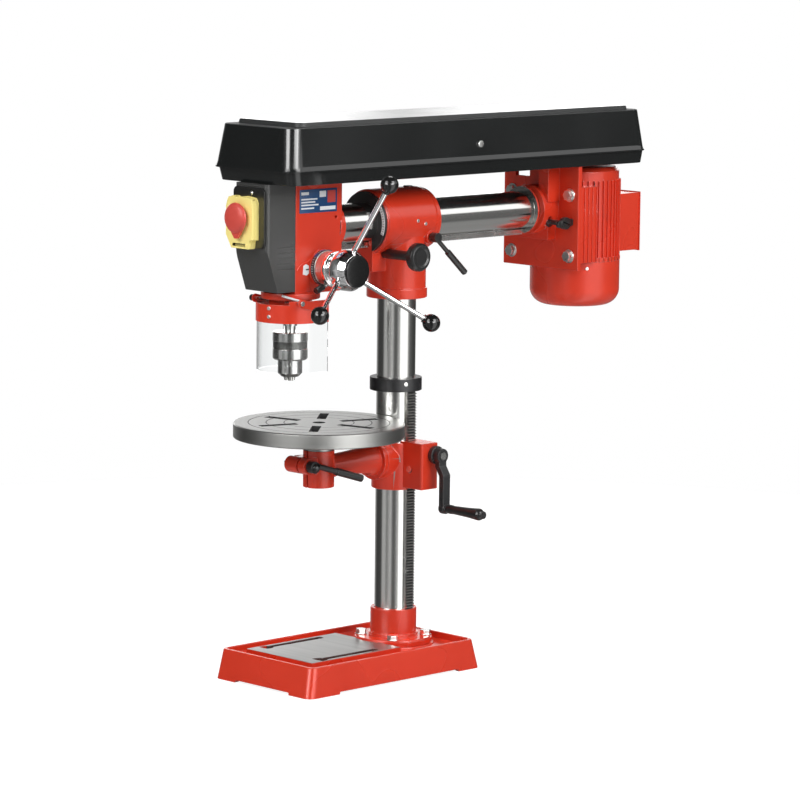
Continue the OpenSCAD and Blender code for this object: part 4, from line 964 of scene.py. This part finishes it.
@dataclass
class TableGroup:
    """Rack, bracket, crank, arm and round table."""

    def build(self) -> None:
        """Dresses the table's pieces."""
        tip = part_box("column_rack")[1].x / MM
        # The rack's tooth gaps get a painted shade.
        dressed("column_rack", "rack_steel", zones=[
            ("groove_painted_shade", lambda c: 0.3 < tip - c.x < 3.2 and abs(c.y) < 7.4)])
        dress_all("table_bracket red_paint 1.2, bracket_lock black_steel 0.4, "
                  "lift_pinion rack_steel 0, lift_worm bright_steel 0, crank black_paint 0.8, "
                  "crank_grip black_plastic 0, table_arm red_paint 1.0, tilt_bolt zinc_steel 0.4")
        centre, top = Vector((0, -148.5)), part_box("table")[1].z / MM
        # The table's grooves and slot walls get a painted shade.
        dressed("table", "machined_iron", 0.35, [
            ("groove_painted_shade", lambda c: 0.12 < top - c.z < 19 and (c.xy - centre).length < 101.5)])
        dressed("table_clamp", "black_steel", 0.4)


@dataclass
class Turret:
    """Turret, ram and their levers."""

    scale_radius: float = 40.6
    scale_face: float = -65.9

    def scale(self) -> None:
        """The white arc of the tilt scale with its black lines."""
        bm = bmesh.new()
        inner, outer, count = 37.6, 42.8, 40
        rings = []
        for depth in (0.0, 0.5):
            for radius in (inner, outer):
                rings.append([bm.verts.new((radius * math.cos(a), self.scale_face - depth,
                                            RAM_Z + radius * math.sin(a)))
                              for a in (math.radians(-22 + 66 * k / count)
                                        for k in range(count + 1))])
        for a, b in ((0, 1), (1, 3), (3, 2), (2, 0)):
            for k in range(count):
                bm.faces.new((rings[a][k], rings[a][k + 1], rings[b][k + 1], rings[b][k]))
        for k in (0, count):
            bm.faces.new((rings[0][k], rings[1][k], rings[3][k], rings[2][k]))
        place("tilt_scale_plate", bm, "turret", "white_print")
        move = Matrix.Translation((0, self.scale_face - 0.6, RAM_Z)) @ Matrix.Rotation(
            math.pi / 2, 4, "X")
        grown("tilt_scale_lines", TREES.bars, "turret", "black_paint", move, Count=13,
              Radius=self.scale_radius * MM, First=math.radians(-20), Step=math.radians(5),
              Size=(0.0022, 0.0007, 0.0005), Long_Every=3, Long=1.8)

    def build(self) -> None:
        """Dresses the turret and adds its scale and screws."""
        dressed("turret", "red_paint", 1.2, [("black_paint", lambda c: c.z > 686.35 and
                                              math.hypot(c.x, c.y - 20) < 7.05)])
        dress_all("tilt_scale black_paint 0.4, turret_lock black_steel 0.4, "
                  "ram_pinion bright_steel 0, ram_knob black_plastic 0.5, "
                  "ram_lock black_steel 0.4, ram_rack rack_steel 0")
        dressed("ram_tube", "ram_steel", 0.3, [("red_paint", lambda c: off_ram(c) > 28.2)])
        self.scale()
        grown("ram_knob_ribs", TREES.bars, "ram_drive", "black_plastic",
              at((83.5, -40, 596), Axis.X), Count=30, Radius=0.0193, Step=math.tau / 30,
              Size=(0.0009, 0.0016, 0.0086))
        grown("turret_screws", TREES.heads, "turret", "zinc_steel",
              at((45.6, 0, 0), Axis.X), ((-642.0, -4.0, 0.2), (-637.0, 11.0, 0.2)),
              Head_Radius=0.0024, Head_Height=0.0014)


@dataclass
class Head:
    """Drill head with its plate, cover, switch, quill and feed levers."""

    plate: tuple[float, float, float, float] = (-219.0, -149.0, 663.0, 695.5)
    fields: tuple[tuple[float, float, float, float, str], ...] = (
        (-216, -202, 688, 692, "white_print"), (-216, -186, 681, 683, "white_print"),
        (-216, -190, 677, 679, "white_print"), (-216, -184, 673, 675, "white_print"),
        (-216, -192, 668.5, 670.5, "white_print"), (-182, -170, 684, 692.5, "white_print"),
        (-167, -152, 676, 692.5, "red_print"), (-181, -152, 666, 671, "white_print"))

    def rating_plate(self) -> None:
        """The blue plate with plain fields, and the white pointer of the depth scale."""
        y0, y1, z0, z1 = self.plate
        place("rating_plate", slab((33.0, y0, z0), (33.5, y1, z1), 0.2), "head", "blue_plate",
              ("head_plates",))
        for index, (a, b, c, d, finish) in enumerate(self.fields):
            place(f"plate_field_{index}", slab((33.4, a, c), (33.58, b, d), 0.05, 1), "head",
                  finish)
        outline = ((-212, 579), (-211, 591), (-206, 593), (-201.2, 590.5), (-200.9, 580),
                   (-205, 577.2))
        bm = bmesh.new()
        rings = [[bm.verts.new((x, y, z)) for y, z in outline] for x in (33.0, 33.6)]
        skinned(bm, rings)
        place("depth_pointer", bm, "head", "white_print")
        place("depth_pointer_line", slab((33.5, -206.5, 584.6), (33.75, -201, 586.4), 0.1, 1),
              "head", "black_paint")

    def casting_bead(self) -> None:
        """The cast step that runs round the feed boss on the head's side."""
        bend = ((-182, 611.5), (-190, 606), (-197, 598.5), (-204, 596), (-213, 594), (-219, 590),
                (-222.5, 585))
        place("head_casting_bead", sweep([(32.9, y, z) for y, z in bend], 1.1, 12), "head",
              "red_paint")

    def switch(self) -> None:
        """Switch bezel, frame, flap, knob and buttons."""
        dressed("switch_base", "yellow_plastic", 0.5, [
            ("black_plastic", lambda c: c.y > -282.03 or abs(c.x + 7) > 27.2 or c.z < 616.9
             or c.z > 688.1)])
        dressed("switch_flap", "yellow_plastic", 0.6, [
            ("black_plastic", lambda c: abs(c.x + 7) < 13.1 and 619.9 < c.z < 624.1
             and c.y > -293.9)])
        dress_all("stop_knob red_plastic 0, start_button green_plastic 0.4, "
                  "stop_button red_plastic 0.4")
        grown("bezel_screws", TREES.heads, "head", "zinc_steel", at((0, -282.4, 0), Axis.Y),
              ((5.8, -693.4, 0),), Head_Radius=0.0026, Head_Height=0.0016,
              Turn=(math.pi, 0, 0))

    def cover_dots(self) -> None:
        """Light moulded pips at the ends of the front cover's grip ribs."""
        grown("cover_pips", TREES.heads, "head", "cover_plastic", at((33.1, 0, 0), Axis.X),
              tuple((-(591.8 + 7.6 * k), -231.5, 0) for k in range(5)), Head_Radius=0.0011,
              Head_Height=0.0008)

    def feed(self) -> None:
        """Feed hub, spokes, depth ring and return spring."""
        dress_all("feed_shaft bright_steel 0, feed_hub chrome 0.8, feed_cap ball_black 0.3, "
                  "feed_spokes chrome 0, feed_knobs ball_black 0")
        dressed("depth_ring", "black_paint", 0.5, [("ring_alloy", lambda c: c.x > 43.32)])
        dressed("depth_lock", "bright_steel", 0.2,
                [("black_plastic", lambda c: c.y < FEED[0] - 12.4)])
        dressed("return_spring", "black_paint", 0.4, [
            ("bright_steel", lambda c: c.x < -49.2 or (-46.5 < c.x < -36.6 and math.hypot(
                c.y - FEED[0], c.z - FEED[1]) < 24.9))])
        ring = at((39.9, *FEED), Axis.X)
        grown("depth_ring_lines", TREES.bars, "depth", "white_print", ring, Count=48, Radius=0.0249,
              Step=math.tau / 48, Size=(0.0005, 0.0004, 0.0026), Long_Every=4, Long=1.3)
        grown("depth_ring_blue", TREES.bars, "depth", "blue_plate", ring, Count=8, Radius=0.0249,
              First=math.radians(12), Step=math.radians(30), Size=(0.0006, 0.0062, 0.0058))

    def chuck(self) -> None:
        """Quill, spindle and keyed chuck."""
        dress_all("quill bright_steel 0, quill_bearings bright_steel 0, spindle bright_steel 0, "
                  "chuck_body chuck_chrome 0.4")
        dressed("chuck_sleeve", "chuck_chrome", 0.2,
                [("knurl_dark", lambda c: 473.9 < c.z < 484.1)])
        dress_all(",".join(f"chuck_jaw_{k} bright_steel 0.2" for k in (1, 2, 3)))

    def guard(self) -> None:
        """Guard band, shield and pin, and the rod on the skirt, white as a painted highlight."""
        dressed("guard_band", "red_paint", 0.3, [
            ("zinc_steel", lambda c: Vector((c.x, c.y - SPINDLE_Y)).length > 48.1
             and c.y < SPINDLE_Y - 40)])
        dressed("guard_shield", "clear_plastic")
        dressed("guard_pin", "bright_steel", 0.3, [("black_plastic", lambda c: c.x < -48.2)])
        # The skirt rod stands for a steel rod but takes the white print finish: a painted highlight
        # along its length.
        rod = ((22, -240.6, 550.8), (29, -235.6, 548.5), (34.8, -229, 545.8), (39.2, -221.3, 543.2))
        place("skirt_rod_painted_highlight", sweep(rod, 1.7, 14), "head", "white_print")

    def build(self) -> None:
        """Dresses the head and all that it carries."""
        dress_all("head red_paint 1.6, front_cover cover_plastic 0.7")
        self.rating_plate()
        self.casting_bead()
        self.cover_dots()
        self.switch()
        self.feed()
        self.chuck()
        self.guard()


@dataclass
class Drive:
    """Belt cover, pulleys, belt and motor."""

    def cover(self) -> None:
        """The pan and the lid."""
        dressed("cover_pan", "cover_black", 0.8,
                [("bright_steel", lambda c: math.hypot(c.x + 87.2, c.z - 723.7) < 1.55)])
        dressed("cover_lid", "cover_black", 1.0,
                [("zinc_steel", self.on_catch), ("cover_edge", self.on_ledge)])

    def on_catch(self, c: Vector) -> bool:
        """Whether a face belongs to the catch screw on the lid's side."""
        return c.x > 79.6 and math.hypot(c.y - 85, c.z - 748) < 5.2

    def on_ledge(self, c: Vector) -> bool:
        """Whether a face belongs to the grained ledge round the lid's raised panel."""
        return 779 < c.z < 788.6

    def belts(self) -> None:
        """Pulleys and belt."""
        dress_all("spindle_pulley bright_steel 0.4, drive_belt belt_rubber 0.5, "
                  "motor_rotor bright_steel 0")

    def motor(self) -> None:
        """Motor, its mount and its fittings."""
        dressed("motor_mount", "red_paint", 1.0, [
            ("black_plastic", lambda c: (41.5 < c.x < 67 and c.y < 291.9 and 609 < c.z < 637)
             or (31 < c.x < 42 and 270 < c.y < 281.5 and 612 < c.z < 628 and
                 off_ram(c) > 36.3))])
        dressed("motor_bolts", "zinc_steel", 0.5)
        dressed("motor_frame", "motor_red", 0.5, [
            ("copper", lambda c: math.hypot(c.x, c.y - MOTOR_Y) < 52.5
             and (575 < c.z < 590.2 or 659.8 < c.z < 674.5))])
        ribs = [slab((67.4, y, 563.6), (69.6, y + 2.4, 673.6), 0.6, 1)
                for y in (303.5, 312.0, 320.5, 329.0, 337.5)]
        place("foot_ribs", joined(ribs), "motor", "motor_red")
        dressed("motor_cap", "motor_red", 0.6)
        place("terminal_lid", slab((-33.5, 470.2, 569.5), (33.5, 471.7, 657.5), 0.7), "motor",
              "motor_red")
        heads = []
        for angle in (-31, 59, 149, 239):
            turn = Matrix.Rotation(math.radians(angle), 4, "Z")
            head = lathe(((0, -0.5), (2.9, -0.5), (2.9, 0.7), (2.2, 1.5), (0, 1.7)), 20)
            head.transform(Matrix.Translation((0, MOTOR_Y, 553)) @ turn @ at((66.1, 0, 0), Axis.X))
            heads.append(head)
        place("cap_screws", joined(heads), "motor", "zinc_steel")

    def build(self) -> None:
        """Dresses the drive."""
        self.cover()
        self.belts()
        self.motor()


def direction(azimuth: float, elevation: float) -> Vector:
    """The direction of an azimuth from the front and an elevation, in degrees."""
    az, el = math.radians(azimuth), math.radians(elevation)
    return Vector((math.sin(az) * math.cos(el), -math.cos(az) * math.cos(el), math.sin(el)))


@dataclass
class Studio:
    """Floor, light and the photograph's camera."""

    azimuth: float = 45.81
    elevation: float = 7.98
    roll: float = 0.62
    focal_px: float = 3921.65
    distance: float = 5.57519
    side_shift: float = 0.00628
    target_height: float = 0.3828
    fill: float = 0.42
    darkest: float = 0.035
    wall_top: tuple[float, float] = (0.35, 0.62)
    ground: tuple[float, float] = (-0.45, -0.28)
    ground_level: float = 0.3
    strip_level: float = 13.0
    side_level: float = 1.7
    rear_level: float = 3.8
    lamps: tuple[tuple[str, float, float, float, float, float], ...] = (
        ("left softbox", -44, 36, 2.6, 1.2, 31), ("right softbox", 50, 36, 2.6, 1.3, 42),
        ("back softbox", 172, 55, 2.8, 1.0, 14))
    walls: tuple[tuple[float, float], ...] = (
        (-180, 0.10), (-152, 0.5), (-136, 0.10), (-124, 0.03), (-84, 0.03), (-72, 0.5), (-57, 0.5),
        (-46, 0.2), (-22, 0.6), (-10, 0.09), (4, 0.09), (14, 0.4), (24, 0.6), (28, 2.0),
        (68, 2.0), (76, 0.5), (88, 0.12), (110, 0.05), (134, 0.02), (180, 0.10))

    def camera(self) -> None:
        """Sets the camera that was fitted to the photograph."""
        back = direction(self.azimuth, self.elevation)
        right = direction(self.azimuth + 90, 0)
        up = back.cross(right)
        r = math.radians(self.roll)
        side = right * math.cos(r) + up * math.sin(r)
        top = up * math.cos(r) - right * math.sin(r)
        spot = right * self.side_shift + back * self.distance + Vector((0, 0, self.target_height))
        data = bpy.data.cameras.new("camera")
        data.sensor_width = FILM
        data.lens = FILM * self.focal_px / PHOTO_SIDE
        data.clip_end = 100.0
        camera = bpy.data.objects.new("camera", data)
        camera.matrix_world = Matrix((
            (side.x, top.x, back.x, spot.x), (side.y, top.y, back.y, spot.y),
            (side.z, top.z, back.z, spot.z), (0, 0, 0, 1)))
        bpy.context.scene.collection.objects.link(camera)
        bpy.context.scene.camera = camera

    def lamp(self, name: str, turn: float, height: float, reach: float, size: float,
             power: float) -> None:
        """Adds a soft lamp that faces the drill.

        Args:
            name: the lamp's name.
            turn: its azimuth from the camera's, in degrees.
            height: its elevation, in degrees.
            reach: its distance, in metres.
            size: its side, in metres.
            power: its power, in watts.
        """
        towards = direction(self.azimuth + turn, height)
        data = bpy.data.lights.new(name, "AREA")
        data.size = size
        data.energy = power
        lamp = bpy.data.objects.new(name, data)
        lamp.location = towards * reach + Vector((0, 0, LAMP_AIM))
        lamp.rotation_euler = towards.to_track_quat("Z", "Y").to_euler()
        bpy.context.scene.collection.objects.link(lamp)

    def window(self, g: Graph, turn: NodeSocket, rise: NodeSocket,
               turns: tuple[float, float], rises: tuple[float, float]) -> NodeSocket:
        """A soft-edged bright window in the studio, for gloss.

        Args:
            g: the world's graph.
            turn: the azimuth from the camera's, in radians.
            rise: the height of the direction, from -1 to 1.
            turns: its sides, in degrees.
            rises: its lower and upper edge, in degrees.

        Returns:
            One inside the window and nought outside it.
        """
        result = 1.0
        edges = ((turn, math.radians(turns[0]), 0.06), (turn, math.radians(turns[1]), -0.06),
                 (rise, math.sin(math.radians(rises[0])), 0.03),
                 (rise, math.sin(math.radians(rises[1])), -0.03))
        for value, edge, width in edges:
            result = g.math("MULTIPLY", result, g.ranged(value, edge, edge + width))
        return result

    def world(self) -> None:
        """A white backdrop for camera and clear plastic, and a studio with dark sides for gloss."""
        world = bpy.data.worlds.new("studio")
        bpy.context.scene.world = world
        world.use_nodes = True
        g = Graph(world.node_tree)
        background = world.node_tree.nodes["Background"]
        path = g.add("ShaderNodeLightPath").outputs
        where = g.add("ShaderNodeTexCoord").outputs["Generated"]
        height = g.add("ShaderNodeSeparateXYZ", Vector=where).outputs["Z"]
        az = math.radians(self.azimuth)
        across, ahead = (g.vector("DOT_PRODUCT", where, direction).outputs["Value"]
                         for direction in ((math.cos(az), math.sin(az), 0),
                                           (math.sin(az), -math.cos(az), 0)))
        turn = g.math("ARCTAN2", across, ahead)
        ramp = g.add("ShaderNodeValToRGB",
                     Fac=g.math("ADD", g.math("DIVIDE", turn, math.tau), 0.5))
        stops = ramp.color_ramp.elements
        while len(stops) < len(self.walls):
            stops.new(0.5)
        for stop, (degrees, value) in zip(stops, self.walls):
            stop.position = degrees / 360 + 0.5
            stop.color = (value / 2, value / 2, value / 2, 1)
        band = g.math("MULTIPLY", g.math("MULTIPLY", ramp.outputs["Color"], 2.0),
                      g.ranged(height, *self.wall_top, 1.0, 0.0))
        band = g.math("MAXIMUM", band, g.ranged(height, *self.ground, self.ground_level, 0.0))
        side = self.window(g, turn, height, (70, 114), (9.5, 38))
        rear = self.window(g, g.math("ABSOLUTE", turn), height, (146, 181), (2, 15))
        strips = g.math("ADD", self.window(g, turn, height, (-57, -22), (7, 22)),
                        self.window(g, turn, height, (16, 55), (7, 22)))
        band = g.math("ADD", band, g.math("MULTIPLY", strips, self.strip_level))
        shown = g.math("ADD", g.math("MAXIMUM", band, g.math("MULTIPLY", side, self.side_level)),
                       g.math("ADD", g.math("MULTIPLY", rear, self.rear_level), self.darkest))
        passing = path["Is Transmission Ray"]
        gloss = g.math("MAXIMUM", g.math("GREATER_THAN", path["Glossy Depth"], 0.5),
                       g.math("MULTIPLY", path["Is Glossy Ray"],
                              g.math("SUBTRACT", 1.0, passing)))
        through = g.math("MULTIPLY", passing, g.math("SUBTRACT", 1.0, gloss))
        seen = g.math("MAXIMUM", path["Is Camera Ray"], through)
        level = g.mixed(gloss, self.fill, shown)
        g.feed(background.inputs["Strength"], g.mixed(seen, level, 1.0))
        background.inputs["Color"].default_value = (1, 1, 1, 1)

    def floor(self) -> None:
        """A pale floor that keeps a soft shadow and looks white to the camera."""
        bm = bmesh.new()
        bmesh.ops.create_circle(bm, cap_ends=True, segments=96, radius=1700.0)
        mesh = to_mesh(bm, "floor")
        obj = in_scene("floor", mesh)
        material = bpy.data.materials.new("pale floor")
        material.use_nodes = True
        g = Graph(material.node_tree)
        shader = material.node_tree.nodes["Principled BSDF"]
        shader.inputs["Roughness"].default_value = 0.9
        shader.inputs["Base Color"].default_value = (0.82, 0.82, 0.82, 1)
        glow = g.add("ShaderNodeEmission", Strength=1.45, Color=(1, 1, 1, 1))
        path = g.add("ShaderNodeLightPath").outputs
        seen = g.math("MAXIMUM", path["Is Camera Ray"], path["Is Transmission Ray"])
        surface = shader.outputs[0]
        for share, other in ((g.math("MULTIPLY", seen, 0.6), glow),
                             (path["Is Glossy Ray"], g.add("ShaderNodeBsdfTransparent"))):
            mix = g.add("ShaderNodeMixShader", Fac=share)
            g.feed(mix.inputs[1], surface)
            g.feed(mix.inputs[2], other.outputs[0])
            surface = mix.outputs[0]
        g.feed(material.node_tree.nodes["Material Output"].inputs["Surface"], surface)
        mesh.materials.append(material)

    def build(self) -> None:
        """Sets the whole studio."""
        self.camera()
        self.world()
        self.floor()
        for row in self.lamps:
            self.lamp(*row)
        bpy.context.scene.view_settings.view_transform = "Standard"


def main() -> None:
    """Builds every sub-assembly."""
    logging.basicConfig(level=logging.INFO, format="%(message)s")
    for group in (Studio(), Stand(), TableGroup(), Turret(), Head(), Drive()):
        group.build()
        LOG.info("built %s", type(group).__name__)
    bpy.context.view_layer.update()


if __name__ == "__main__":
    main()
